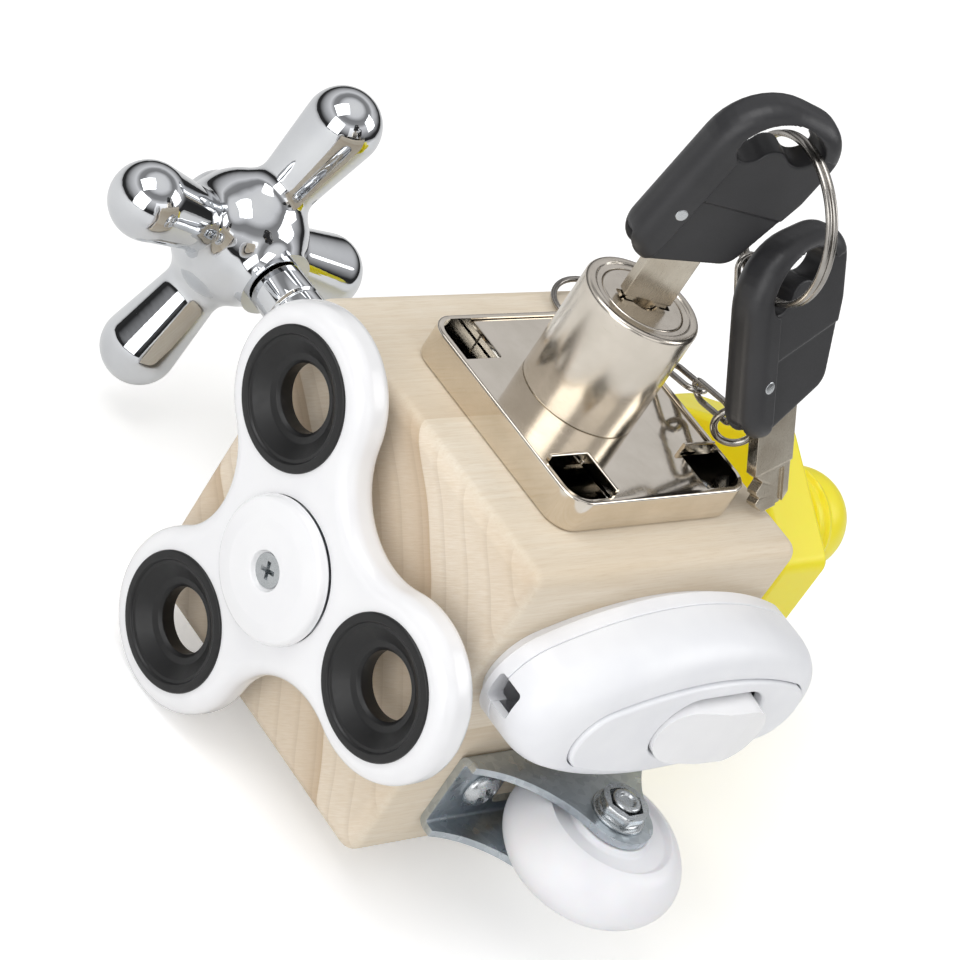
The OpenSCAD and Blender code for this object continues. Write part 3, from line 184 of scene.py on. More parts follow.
# Injection-moulded plastic: a faint orange-peel skin under a smooth gloss
def makeMoulded(name, colour, shade, gloss, peel, pitch=0.9, **more):
    made, tree, shader = shaded(name, **more)
    where = inMillimetres(tree)
    cloud = node(tree, "ShaderNodeTexNoise", {"Vector": where, "Scale": 0.12, "Detail": 2.0, "Roughness": 0.55})
    tree.links.new(layered(tree, linear(colour), (cloud, 0.3, 0.7, 1, shade)), shader.inputs["Base Color"])
    skin = node(tree, "ShaderNodeTexNoise", {"Vector": where, "Scale": pitch, "Detail": 4.0, "Roughness": 0.55})
    tree.links.new(node(tree, "ShaderNodeMapRange", (skin, 0.3, 0.7, gloss - 0.04, gloss + 0.05)).outputs[0],
        shader.inputs["Roughness"])
    bump = node(tree, "ShaderNodeBump", {"Height": skin, "Strength": peel, "Distance": 0.02 / 1000})
    tree.links.new(bump.outputs[0], shader.inputs["Normal"])
    return made


# Metal with the marks of its own making: fine turning or brushing lines, a little tarnish in patches
def makeMetal(name, colour, shade, low, high, lines, relief, pitch):
    made, tree, shader = shaded(name, Metallic=1.0)
    marks = node(tree, "ShaderNodeTexNoise", {"Vector": inMillimetres(tree, lines), "Scale": pitch, "Detail": 5.0,
        "Roughness": 0.65})
    patches = node(tree, "ShaderNodeTexNoise", {"Vector": inMillimetres(tree), "Scale": 0.16, "Detail": 3.0,
        "Roughness": 0.55})
    tree.links.new(layered(tree, linear(colour), (patches, 0.35, 0.7, 1, shade)), shader.inputs["Base Color"])
    tree.links.new(node(tree, "ShaderNodeMapRange", (marks, 0.3, 0.75, low, high)).outputs[0],
        shader.inputs["Roughness"])
    bump = node(tree, "ShaderNodeBump", {"Height": marks, "Strength": relief, "Distance": 0.02 / 1000})
    tree.links.new(bump.outputs[0], shader.inputs["Normal"])
    return made


# Zinc plate on pressed steel: small pale crystals that turn the light in different ways
def makeGalvanised():
    made, tree, shader = shaded("zincPlatedSheet", Metallic=1.0)
    where = inMillimetres(tree)
    flakes = node(tree, "ShaderNodeTexVoronoi", {"Vector": where, "Scale": 0.9}, feature="F1")
    tone = node(tree, "ShaderNodeSeparateXYZ", (flakes.outputs["Color"],)).outputs[0]
    tree.links.new(node(tree, "ShaderNodeMix", {0: tone, 6: linear("#c6cdd2"), 7: linear("#b3bbc1")},
        data_type="RGBA").outputs[2], shader.inputs["Base Color"])
    tree.links.new(node(tree, "ShaderNodeMapRange", (tone, 0, 1, 0.26, 0.4)).outputs[0], shader.inputs["Roughness"])
    skin = node(tree, "ShaderNodeTexNoise", {"Vector": where, "Scale": 1.6, "Detail": 4.0, "Roughness": 0.55})
    bump = node(tree, "ShaderNodeBump", {"Height": skin, "Strength": 0.12, "Distance": 0.03 / 1000})
    tree.links.new(bump.outputs[0], shader.inputs["Normal"])
    return made


beech = makeBeech()
# ABS from a polished tool: clear reflections under a thin hard gloss
whiteGloss = makeMoulded("whiteGlossMoulding", "#f6f6f7", "#f2f2f4", 0.2, 0.04, **{"Coat Weight": 0.25,
    "Coat Roughness": 0.1})
# Polystyrene from a finely blasted tool: wide, soft highlights
whiteSatin = makeMoulded("whiteSatinMoulding", "#f5f6f9", "#f0f1f5", 0.32, 0.05, 1.0)
# Nylon: waxy, with light that goes a little way in
whiteSoft = makeMoulded("whiteNylonMoulding", "#f5f5f8", "#f0f0f4", 0.36, 0.05, 1.0, **{"Subsurface Weight": 0.1,
    "Subsurface Scale": 0.002})
# Black-coated weights: dark with soft rims; key heads: a slightly grainy, greyer black
blackGloss = makeMoulded("blackPressedRing", "#0b0b0c", "#0f0f10", 0.42, 0.05, 0.9)
blackKey = makeMoulded("blackKeyMoulding", "#29292b", "#2f2f31", 0.4, 0.3, 2.4)
# Dyed polyethylene: even colour, dull shine, edges that glow
yellowGloss = makeMoulded("yellowMoulding", "#ffef30", "#feee2c", 0.34, 0.02, 0.8, **{"Subsurface Weight": 0.15,
    "Subsurface Scale": 0.003})
# Nickel: pressed and buffed sheet mirrors with a blur along the buffing; the turned tube has rings; the blade
# is milled and worn
polished = makeMetal("nickelPolishedSheet", "#e2dace", "#d8d0c3", 0.06, 0.14, (0.4, 3, 3), 0.06, 1.2)
brushed = makeMetal("nickelTurnedTube", "#e2dace", "#d6cec1", 0.16, 0.3, (0.5, 0.5, 14), 0.12, 1.0)
bladeMetal = makeMetal("nickelSilverBlade", "#cbc3b4", "#b5ab9b", 0.18, 0.32, (5, 5, 0.6), 0.2, 1.0)
# Chrome on cast brass: an almost perfect mirror. Zinc on screws: pale and blurred, without lines
mirror = makeMetal("chromePlate", "#dfe1e3", "#d9dbde", 0.02, 0.05, (1, 1, 1), 0.02, 0.6)
bright = makeMetal("zincPlatedScrew", "#c9ccce", "#b4b8ba", 0.2, 0.34, (4, 4, 4), 0.2, 1.0)
# Drawn wire, ground bearing steel with lines round the race, and pressed brass strip
wire = makeMetal("nickelPlatedWire", "#b8b4ae", "#8f8b86", 0.16, 0.3, (2, 2, 2), 0.12, 1.0)
bearing = makeMetal("groundBearingSteel", "#c4c7ca", "#b6babd", 0.12, 0.2, (1, 1, 8), 0.08, 1.0)
brass = makeMetal("brassStrip", "#c9a45a", "#b48f47", 0.2, 0.34, (1, 6, 1), 0.15, 1.0)
galvanised = makeGalvanised()

print("materials made")


# Outlines and profiles
def polar(r, degrees):
    return r * math.cos(math.radians(degrees)), r * math.sin(math.radians(degrees))


def arc(cx, cy, r, first, last, steps):
    return [(cx + x, cy + y) for x, y in (polar(r, first + (last - first) * i / steps) for i in range(steps + 1))]


# Rounds each corner that has a third number, its radius
def rounded(points, closed=True, steps=6):
    out = []
    count = len(points)
    for i, p in enumerate(points):
        here = Vector(p[:2])
        if len(p) < 3 or p[2] == 0 or (not closed and i in (0, count - 1)):
            out.append((here.x, here.y))
            continue
        before, after = Vector(points[i - 1][:2]) - here, Vector(points[(i + 1) % count][:2]) - here
        reach = 0.499 * min(before.length, after.length)
        before.normalize()
        after.normalize()
        inner = before.angle(after)
        cut = min(p[2] / math.tan(inner / 2), reach)
        r = cut * math.tan(inner / 2)
        centre = here + (before + after).normalized() * (r / math.sin(inner / 2))
        u, v = here + before * cut - centre, here + after * cut - centre
        sweep = math.atan2(u.x * v.y - u.y * v.x, u.dot(v))
        for k in range(steps + 1):
            a = sweep * k / steps
            c, s = math.cos(a), math.sin(a)
            out.append((centre.x + u.x * c - u.y * s, centre.y + u.x * s + u.y * c))
    return out


def roundRect(w, h, r, steps=8, cx=0.0, cy=0.0):
    return rounded([(cx + sx * w / 2, cy + sy * h / 2, r) for sx, sy in ((1, -1), (1, 1), (-1, 1), (-1, -1))],
        steps=steps)


def circle(r, steps, cx=0.0, cy=0.0):
    return arc(cx, cy, r, 0, 360 - 360 / steps, steps - 1)


def hexagon(r, corner, first, steps):
    return rounded([(*polar(r, first + a), corner) for a in range(0, 360, 60)], True, steps)


# Oval of four arcs, long along its first axis
def oval(length, width):
    endShare, steps = 0.33, 24
    endR = width * endShare
    endX = length / 2 - endR
    sideR = (endX ** 2 + width ** 2 / 4 - endR ** 2) / (width - 2 * endR)
    sideY = sideR - width / 2
    meet = math.degrees(math.atan2(sideY, endX))
    arcs = ((endX, 0, endR, -meet, meet), (0, -sideY, sideR, meet, 180 - meet), (-endX, 0, endR, 180 - meet, 180
        + meet), (0, sideY, sideR, 180 + meet, 360 - meet))
    return [point for bend in arcs for point in arc(*bend, steps)[:-1]]


def area(loop):
    return sum(a[0] * b[1] - a[1] * b[0] for a, b in zip(loop, loop[1:] + loop[:1])) / 2


# Moves an outline inwards, keeping its points
def inset(loop, by):
    sign = 1 if area(loop) > 0 else -1
    out = []
    count = len(loop)
    for i in range(count):
        a, b, c = (Vector(loop[(i + k) % count]) for k in (-1, 0, 1))
        u, v = (b - a).normalized(), (c - b).normalized()
        n = Vector((-u.y - v.y, u.x + v.x))
        n = n.normalized() if n.length > 1e-9 else Vector((-u.y, u.x))
        scale = max(0.3, n.dot(Vector((-u.y, u.x))))
        out.append((b.x + sign * by * n.x / scale, b.y + sign * by * n.y / scale))
    return out


# Meshes, in millimetres
def mesh(verts, faces):
    made = bpy.data.meshes.new("shape")
    made.from_pydata([tuple(v) for v in verts], [], [tuple(f) for f in faces])
    made.update()
    return made


# Closed loops joined one to the next, and closed by a fan or a cap at each end
def loft(loops, capFirst=True, capLast=True, joinEnds=False):
    count = len(loops[0])
    verts = [v for loop in loops for v in loop]
    faces = []
    pairs = list(zip(range(len(loops)), range(1, len(loops))))
    if joinEnds:
        pairs.append((len(loops) - 1, 0))
    for a, b in pairs:
        for i in range(count):
            j = (i + 1) % count
            faces.append((a * count + i, a * count + j, b * count + j, b * count + i))
    for wanted, row in ((capFirst, 0), (capLast, len(loops) - 1)):
        if wanted and not joinEnds:
            ring = [row * count + i for i in range(count)]
            tris = tessellate_polygon([[Vector(verts[i]) for i in ring]])
            faces += [tuple(ring[k] for k in tri) for tri in tris]
    return mesh(verts, faces)


# Revolves (radius, height) points about local Z
def lathe(profile, steps, closed=False):
    turns = [2 * math.pi * i / steps for i in range(steps)]
    loops = [[(r * math.cos(a), r * math.sin(a), h) for a in turns] for r, h in profile]
    return loft(loops, not closed and profile[0][0] > 1e-6, not closed and profile[-1][0] > 1e-6, closed)


# Flat piece between two heights, with holes and with rounded rims
def plate(outer, low, high, edge, holes=(), steps=3, bottomEdge=None):
    under = edge if bottomEdge is None else bottomEdge
    loops = [outer if area(outer) > 0 else outer[::-1]] + [h[::-1] if area(h) > 0 else h for h in holes]
    turns = [math.radians(90 * k / steps) for k in range(steps + 1)]
    levels = [(under * (1 - math.sin(a)), low + under * (1 - math.cos(a))) for a in turns]
    levels += [(edge * (1 - math.cos(a)), high - edge * (1 - math.sin(a))) for a in turns]
    verts, faces, caps = [], [], {0: [], 1: []}
    for number, loop in enumerate(loops):
        count = len(loop)
        base = len(verts)
        for by, z in levels:
            shrunk = inset(loop, by if number == 0 else -by) if by > 1e-6 else loop
            verts += [(x, y, z) for x, y in shrunk]
        for row in range(len(levels) - 1):
            for i in range(count):
                j = (i + 1) % count
                a, b = base + row * count, base + (row + 1) * count
                faces.append((a + i, a + j, b + j, b + i))
        caps[0].append([base + i for i in range(count)])
        caps[1].append([base + (len(levels) - 1) * count + i for i in range(count)])
    for side in (0, 1):
        order = [i for ring in caps[side] for i in ring]
        tris = tessellate_polygon([[Vector(verts[i]) for i in ring] for ring in caps[side]])
        faces += [tuple(order[k] for k in (tri if side else tri[::-1])) for tri in tris]
    return mesh(verts, faces)


# Round wire along an open path in 3D
def sweep(path, radius, across, steps):
    loops = []
    for i, p in enumerate(path):
        here = Vector(p)
        before, after = Vector(path[max(i - 1, 0)]), Vector(path[min(i + 1, len(path) - 1)])
        ahead = (after - before).normalized()
        side = ahead.cross(Vector(across)).normalized()
        up = side.cross(ahead).normalized()
        ring = (polar(radius, 360 * k / steps) for k in range(steps))
        loops.append([tuple(here + side * x + up * y) for x, y in ring])
    return loft(loops)


def joined(*parts):
    both = bmesh.new()
    for part in parts:
        both.from_mesh(part)
    made = bpy.data.meshes.new("joined")
    both.to_mesh(made)
    both.free()
    return made


def at(part, place):
    made = part.copy()
    made.transform(place)
    return made


def asObject(part, name):
    made = bpy.data.objects.new(name, part)
    scene.collection.objects.link(made)
    return made


def evaluated(made):
    bpy.context.view_layer.update()
    graph = bpy.context.evaluated_depsgraph_get()
    result = bpy.data.meshes.new_from_object(made.evaluated_get(graph))
    bpy.data.objects.remove(made)
    return result


# Doubles merged, normals outwards
def tidied(part):
    work = bmesh.new()
    work.from_mesh(part)
    bmesh.ops.remove_doubles(work, verts=work.verts, dist=1e-4)
    bmesh.ops.recalc_face_normals(work, faces=work.faces)
    work.to_mesh(part)
    work.free()
    return part


# A part after modifiers, each named by its kind and given its settings
def modified(part, **steps):
    work = asObject(tidied(part), "work")
    for kind, settings in steps.items():
        step = work.modifiers.new(kind, kind.upper())
        for key, value in settings.items():
            setattr(step, key, value)
    return evaluated(work)


# Takes cutters out of a part
def cut(part, *cutters):
    body = asObject(tidied(part), "body")
    tools = []
    for cutter in cutters:
        tool = asObject(tidied(cutter), "cutter")
        tools.append(tool)
        step = body.modifiers.new("cut", "BOOLEAN")
        step.object, step.operation, step.solver = tool, "DIFFERENCE", "EXACT"
    result = evaluated(body)
    for tool in tools:
        bpy.data.objects.remove(tool)
    return result


# The finished piece: in place, in metres, smooth with sharp corners, and riding on its body. It stands in for
# the CAD node of the same name, if no other is given
def piece(name, part, place, material, body, corner=32, even=True, nodeName=None):
    part = at(tidied(part.copy()), Matrix.Scale(0.001, 4) @ (place or Matrix.Identity(4)))
    part.polygons.foreach_set("use_smooth", [True] * len(part.polygons))
    part.set_sharp_from_angle(angle=math.radians(corner))
    made = asObject(part, name + "Raw")
    if even:
        weighted = made.modifiers.new("evenNormals", "WEIGHTED_NORMAL")
        weighted.keep_sharp, weighted.weight = True, 100
    result = evaluated(made)
    result.name = name
    result.materials.clear()
    result.materials.append(material)
    final = asObject(result, name)
    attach(final, body)
    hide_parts(nodeName or "".join("_" + c.lower() if c.isupper() else c for c in name))


# What repeats: geometry nodes
def newTree(name, inputs):
    tree = bpy.data.node_groups.new(name, "GeometryNodeTree")
    tree.interface.new_socket(name="Geometry", in_out="INPUT", socket_type="NodeSocketGeometry")
    tree.interface.new_socket(name="Geometry", in_out="OUTPUT", socket_type="NodeSocketGeometry")
    for label, kind in inputs.items():
        tree.interface.new_socket(name=label, in_out="INPUT", socket_type="NodeSocket" + kind)
    return tree, node(tree, "NodeGroupInput")


# Ends every tree: real geometry, with its material set
def endTree(tree, geometry, material):
    real = node(tree, "GeometryNodeRealizeInstances", (geometry,))
    dressed = node(tree, "GeometryNodeSetMaterial", {"Geometry": real, "Material": material})
    node(tree, "NodeGroupOutput", (dressed,))


def grown(tree, values):
    host = asObject(bpy.data.meshes.new("host"), "host")
    step = host.modifiers.new("grow", "NODES")
    step.node_group = tree
    for item in tree.interface.items_tree:
        if item.in_out == "INPUT" and item.name in values:
            step[item.identifier] = values[item.name]
    return evaluated(host)


# A chain between two hanging points: stadium links of round wire, each turned against the last
def chainTree():
    tree, given = newTree("chainOfLinks", {"First link": "Vector", "Last link": "Vector", "Links": "Int",
        "Link length": "Float", "Link width": "Float", "Wire radius": "Float", "Roll": "Float", "Twist": "Float",
        "Material": "Material"})
    socket = given.outputs
    twoWires = node(tree, "ShaderNodeMath", (socket["Wire radius"], 2.0), operation="MULTIPLY")
    long = node(tree, "ShaderNodeMath", (socket["Link length"], twoWires), operation="SUBTRACT")
    wide = node(tree, "ShaderNodeMath", (socket["Link width"], twoWires), operation="SUBTRACT")
    outline = node(tree, "GeometryNodeCurvePrimitiveQuadrilateral", {"Width": long, "Height": wide})
    bend = node(tree, "ShaderNodeMath", (wide, 0.499), operation="MULTIPLY")
    link = node(tree, "GeometryNodeFilletCurve", {"Curve": outline, "Radius": bend, "Count": 10,
        "Limit Radius": True}, mode="POLY")
    section = node(tree, "GeometryNodeCurvePrimitiveCircle", {"Resolution": 14, "Radius": socket["Wire radius"]})
    solid = node(tree, "GeometryNodeCurveToMesh", {"Curve": link, "Profile Curve": section})
    line = node(tree, "GeometryNodeMeshLine", {"Count": socket["Links"], "Start Location": socket["First link"],
        "Offset": socket["Last link"]}, mode="END_POINTS")
    way = node(tree, "ShaderNodeVectorMath", (socket["Last link"], socket["First link"]), operation="SUBTRACT")
    parts = node(tree, "ShaderNodeSeparateXYZ", (way,))
    flat = node(tree, "ShaderNodeCombineXYZ", (parts, parts.outputs[1]))
    reach = node(tree, "ShaderNodeVectorMath", (flat,), operation="LENGTH").outputs["Value"]
    heading = node(tree, "ShaderNodeMath", (parts.outputs[1], parts), operation="ARCTAN2")
    climb = node(tree, "ShaderNodeMath", (parts.outputs[2], reach), operation="ARCTAN2")
    index = node(tree, "GeometryNodeInputIndex")
    roll = node(tree, "ShaderNodeMath", (index, socket["Twist"]), operation="MULTIPLY")
    roll = node(tree, "ShaderNodeMath", (roll, socket["Roll"]), operation="ADD")
    dip = node(tree, "ShaderNodeMath", (climb, -1.0), operation="MULTIPLY")
    turned = node(tree, "ShaderNodeCombineXYZ", (roll, dip, heading))
    placed = node(tree, "GeometryNodeInstanceOnPoints", {"Points": line, "Instance": solid, "Rotation": turned})
    endTree(tree, placed, socket["Material"])
    return tree


# The same screw at each corner of a grid, each turned a little differently
def screwTree():
    tree, given = newTree("screwsOnGrid", {"Screw": "Object", "Spacing X": "Float", "Spacing Y": "Float",
        "Count X": "Int", "Count Y": "Int", "Turn": "Float", "Material": "Material"})
    socket = given.outputs
    grid = node(tree, "GeometryNodeMeshGrid", {"Size X": socket["Spacing X"], "Size Y": socket["Spacing Y"],
        "Vertices X": socket["Count X"], "Vertices Y": socket["Count Y"]})
    screw = node(tree, "GeometryNodeObjectInfo", {"Object": socket["Screw"]})
    index = node(tree, "GeometryNodeInputIndex")
    turned = node(tree, "ShaderNodeCombineXYZ", {2: node(tree, "ShaderNodeMath", (index, socket["Turn"]),
        operation="MULTIPLY")})
    points = node(tree, "GeometryNodeMeshToPoints", {"Mesh": grid})
    placed = node(tree, "GeometryNodeInstanceOnPoints", {"Points": points, "Instance": screw.outputs["Geometry"],
        "Rotation": turned})
    endTree(tree, placed, socket["Material"])
    return tree


# Balls round a bearing's track
def ballTree():
    tree, given = newTree("ballsOnTrack", {"Track radius": "Float", "Ball radius": "Float", "Balls": "Int",
        "Material": "Material"})
    socket = given.outputs
    track = node(tree, "GeometryNodeMeshCircle", {"Vertices": socket["Balls"], "Radius": socket["Track radius"]})
    ball = node(tree, "GeometryNodeMeshIcoSphere", {"Radius": socket["Ball radius"], "Subdivisions": 4})
    placed = node(tree, "GeometryNodeInstanceOnPoints", {"Points": track, "Instance": ball})
    endTree(tree, placed, socket["Material"])
    return tree


chainLinks, screwGrid, bearingBalls = chainTree(), screwTree(), ballTree()


# Screw with a domed head and a cross recess, its head standing above local Z = 0
def screwShape(headR, headH, shankR, length, slotW=0.75, slotD=0.9, sunk=False):
    if sunk:
        head = [(0, -length - 1.6 * shankR), (shankR * 0.3, -length - 1.4 * shankR), (shankR, -length),
            (shankR, -headH), (headR - 0.1, -0.12), (headR - 0.1, 0), (0, 0.05)]
    else:
        head = [(0, -length - 1.2 * shankR), (shankR, -length), (shankR, 0), (headR - 0.12, 0), (headR, 0.2)]
        head += [(headR * math.cos(math.radians(t)) ** 0.9, 0.2 + (headH - 0.2) * math.sin(math.radians(t)))
            for t in range(9, 90, 9)] + [(0, headH)]
    body = lathe(head, 40)
    top = 0.05 if sunk else headH
    reach = headR * 0.62
    cross = []
    corners = ((-1, -1), (1, -1), (1, 1), (-1, 1))
    levels = ((0.45, top - slotD), (1.0, top + 0.4))
    for turn in (22, 112):
        loops = [[(x * reach * k, y * slotW / 2 * k, z) for x, y in corners] for k, z in levels]
        cross.append(at(loft(loops), spun("Z", turn)))
    return cut(body, *cross)


def screwSet(shape, spacing, counts, turn, material):
    host = asObject(tidied(shape), "screw")
    made = grown(screwGrid, {"Screw": host, "Spacing X": spacing[0], "Spacing Y": spacing[1], "Count X": counts[0],
        "Count Y": counts[1], "Turn": turn, "Material": material})
    bpy.data.objects.remove(host)
    return made


# Wooden block
def buildBlock():
    e, r, n = block["edge"], block["softEdge"], block["edgeSteps"]
    work = bmesh.new()
    bmesh.ops.create_cube(work, size=e)
    bmesh.ops.translate(work, verts=work.verts, vec=(0, 0, e / 2))
    bmesh.ops.bevel(work, geom=work.edges[:], offset=r, segments=n, profile=0.5, affect="EDGES")
    made = bpy.data.meshes.new("block")
    work.to_mesh(made)
    work.free()
    piece("woodenBlock", made, None, beech, "block", 40)


# Spinner
spinner = {"x": -1.0, "z": 31.5, "reach": 25.5, "lobe": 14.5, "thick": 6.8, "waist": 16.6, "gap": 3.9, "turn": 4.0,
    "edge": 2.6, "bearing": 11.0, "hole": 5.2, "cap": 11.4, "raceWidth": 6.0, "outerRace": (8.5, 10.98, 0.3),
    "innerRace": (4, 6.1, 0.2), "track": 7.3, "ball": 1.65, "balls": 8}


def spinnerOutline():
    s = spinner
    reach, waist, lobe = s["reach"], s["waist"], s["lobe"]
    hollow = (reach ** 2 + waist ** 2 - reach * waist - lobe ** 2) / (2 * lobe - 2 * waist + reach)
    far = waist + hollow
    between = math.degrees(math.acos((reach ** 2 + (lobe + hollow) ** 2 - far ** 2) / (2 * reach * (lobe + hollow))))
    swing = 180 - between
    points = []
    for i in range(3):
        a = s["turn"] + i * 120
        cx, cy = polar(reach, a)
        points += arc(cx, cy, lobe, a - swing, a + swing, 48)[:-1]
        b = a + 60
        hx, hy = polar(far, b)
        lobeX, lobeY = polar(lobe, a + swing)
        joint = Vector((cx + lobeX - hx, cy + lobeY - hy))
        start = math.degrees(math.atan2(joint.y, joint.x))
        middle = b + 180
        bend = (start - middle + 180) % 360 - 180
        points += arc(hx, hy, hollow, middle + bend, middle - bend, 18)[:-1]
    return points


def buildSpinner():
    s = spinner
    thick = s["thick"]
    face = onFront(s["x"], s["z"])
    spots = [polar(s["reach"], s["turn"] + i * 120) for i in range(3)]
    holes = [circle(s["bearing"] + 0.25, 72)] + [circle(s["bearing"] - 0.12, 72, x, y) for x, y in spots]
    outline = spinnerOutline()
    low, high = s["gap"], s["gap"] + thick
    body = plate(outline, low, high, s["edge"], [], 8)
    body = cut(body, *[plate(h, low - 2, high + 2, 0) for h in holes])
    piece("spinnerBody", body, face, whiteGloss, "spinner", 38)
    # weight rings: polished rim, step, then a satin funnel down to the open hole
    b, hole = s["bearing"], s["hole"]
    ring = rounded([(hole, 2.1, 0.3), (hole + 1.2, 1.75, 0.4), (b - 2.2, 0.35, 0.5), (b - 1.7, 0.0, 0.2),
        (b - 0.2, 0.05, 0.1), (b - 0.2, thick - 0.4), (b, thick - 0.2, 0.1), (b, thick + 0.42, 0.35),
        (b - 1.35, thick + 0.5, 0.3), (b - 1.6, thick + 0.1, 0.15), (b - 2.1, thick + 0.05, 0.2),
        (hole + 1.5, thick - 1.55, 0.8), (hole + 0.5, thick - 1.8, 0.2), (hole, thick - 2.3, 0.25)], True, 5)
    shape = lathe(ring, 96, True)
    piece("weightRings", joined(*[at(shape, moved(x, y, low)) for x, y in spots]), face, blackGloss, "spinner", 50,
        False, "spinner_rings")
    # centre bearing, seen in the thin gap round the cap
    wide = s["raceWidth"]
    back = s["gap"] + (thick - wide) / 2
    for name, steps, body in (("outerRace", 96, "spinner"), ("innerRace", 72, "block")):
        bore, rim, soft = s[name]
        race = rounded([(bore, 0, 0.2), (rim, 0, soft), (rim, wide, soft), (bore, wide, 0.2)])
        piece("bearing" + name[0].upper() + name[1:], lathe(race, steps, True), face @ moved(0, 0, back), bearing,
            body, 40, False)
    balls = grown(bearingBalls, {"Track radius": s["track"], "Ball radius": s["ball"], "Balls": s["balls"],
        "Material": bearing})
    piece("bearingBalls", balls, face @ moved(0, 0, back + wide / 2), bearing, "block", 60, False)
    seat = back + wide + 0.02
    cap = rounded([(2.0, 0.5), (3.2, 0.5), (s["cap"] - 0.5, 0.5, 0.4), (s["cap"], 1.1, 0.4),
        (s["cap"] - 0.25, 2.5, 1.0), (s["cap"] - 3.5, 3.05, 3.0), (4.2, 3.2, 1), (3.15, 3.2, 0.25), (2.95, 2.6, 0.1),
        (2.0, 1.6)], True, 6)
    piece("frontFingerCap", lathe(cap, 96, True), face @ moved(0, 0, seat), whiteGloss, "block", 34, False)
    rear = rounded([(2.0, 0), (7, 0, 0.2), (7, back - 2.55, 0.4), (s["cap"] - 0.3, back - 2.5, 0.5),
        (s["cap"] - 0.3, back - 0.55, 0.8), (5.6, back - 0.5, 0.2), (5.6, back), (2.0, back)], True, 5)
    piece("backFingerCap", lathe(rear, 96, True), face, whiteGloss, "block", 34, False)
    screw = screwShape(headR=2.75, headH=1.6, shankR=1.9, length=22, slotW=0.85, slotD=1.1, sunk=True)
    piece("spinnerScrew", screw, face @ moved(0, 0, seat + 3.2 - 0.62), bright, "block", 34, False)


# Lock on the top face
lock = {"x": -0.5, "y": -0.5, "dx": 2.5, "dy": 0.6, "length": 40.0, "width": 39.4, "height": 6.0, "wall": 0.9,
    "corner": 4.2, "cutout": 8.0, "lip": 1.5, "barrel": 9.6, "top": 25.1, "plug": 6.8, "keyTurn": 20.0,
    "keywayDepth": 17.4, "bore": 8.0, "boltSlot": 6.3, "screwShare": 0.78}


def buildLock():
    s = lock
    dy, wall, height, top = s["dy"], s["wall"], s["height"], s["top"]
    face = onTop(s["x"], s["y"])
    middle = moved(s["dx"], dy, 0)
    w, h, c = s["length"], s["width"], s["corner"]
    outer, inner = roundRect(w, h, c, 12), roundRect(w - 2 * wall, h - 2 * wall, c - wall, 12)
    near, far, wide = -w / 2 - 2, -w / 2 + 2, s["boltSlot"]
    slot = plate([(near, -wide), (far, -wide), (far, wide), (near, wide)], 0.95, 3.0, 0)
    tray = cut(plate(outer, 0, height, 0.35, [], 4, 0.6), plate(inner, 0.9, height + 2, 0),
        at(slot, moved(0, -dy, 0)))
    piece("lockCase", tray, face @ middle, polished, "block", 32)
    # cover plate, its corners cut out and bent up into lips
    px, py, k = w / 2 - wall - 0.12, h / 2 - wall - 0.12, s["cutout"]
    outline = rounded([(-px + k, -py, 0.3), (px - k, -py, 0.3), (px - k, -py + k, 0.4), (px, -py + k, 0.3),
        (px, py - k, 0.3), (px - k, py - k, 0.4), (px - k, py, 0.3), (-px, py, c - wall), (-px, -py + k, 0.3),
        (-px + k, -py + k, 0.4)], True, 5)
    hole = circle(s["bore"] + 0.1, 72, -s["dx"], -dy)
    high = height - 0.4
    cover = plate(outline, high - 0.8, high, 0.12, [hole], 3)

    def lip(x0, y0, x1, y1, along):
        # bent up from the plate with a small inside radius
        length = math.hypot(x1 - x0, y1 - y0)
        thick, rise = 0.62, s["lip"] + 0.8
        section = rounded([(0, 0.02), (thick, 0.02), (thick, 0.8, 0.3), (thick, rise, 0.25), (0, rise, 0.25)], True,
            4)
        loops = [[(t * length, u, v) for u, v in section] for t in (0, 0.04, 0.96, 1)]
        return at(loft(loops), moved(x0, y0, high - 0.82) @ spun("Z", along))
    lips = [lip(px - k, -py + 0.4, px - k, -py + k, 90), lip(px - k - 0.1, -py + k, px - 0.4, -py + k, 0),
        lip(px - k, py - k + 0.5, px - k, py - 0.6, 90)]
    piece("lockCoverPlate", joined(cover, *lips), face @ middle, polished, "block", 30)
    core, bore, rim = s["plug"], s["bore"], s["barrel"]
    barrel = rounded([(core + 0.07, high - 0.9), (bore, high - 0.9), (bore, high + 0.02), (rim, high + 0.02, 0.15),
        (rim, top - 0.05, 1.15), (core + 1.3, top, 0.5), (core + 1.0, top - 0.35, 0.3), (core + 0.07, top - 0.35,
        0.15)], True, 7)
    piece("lockBarrel", lathe(barrel, 128, True), face, brushed, "block", 30, False)
    front = top - 0.32
    plug = lathe(rounded([(0, 5), (core, 5), (core, front, 0.35), (0, front)], False, 5), 96)
    wards = [(1.25, 0.6), (0.7, 0.95), (0.7, 2.25), (1.25, 2.6)]
    keyway = [(-1.25, -4.5, 0.4), (1.25, -4.5, 0.4)] + wards + [(1.25, 4.5, 0.4), (-1.25, 4.5, 0.4)]
    keyway = rounded(keyway + [(-x, y) for x, y in reversed(wards)], True, 4)
    keyway = at(plate(keyway, front - s["keywayDepth"], front + 1, 0), spun("Z", -s["keyTurn"]))
    mouth = lathe([(0, front - 0.9), (2.0, front - 0.9), (2.7, front + 0.5), (0, front + 0.5)], 48)
    piece("lockPlug", cut(plug, keyway, mouth), face, brushed, "plug", 30)
    share = s["screwShare"]
    screw = screwShape(headR=2.9, headH=1.5, shankR=1.3, length=9)
    screws = screwSet(screw, (share * w, share * h), (2, 2), 0.7, bright)
    piece("lockScrews", screws, face @ middle @ moved(0, 0, 0.93), bright, "block", 34, False)


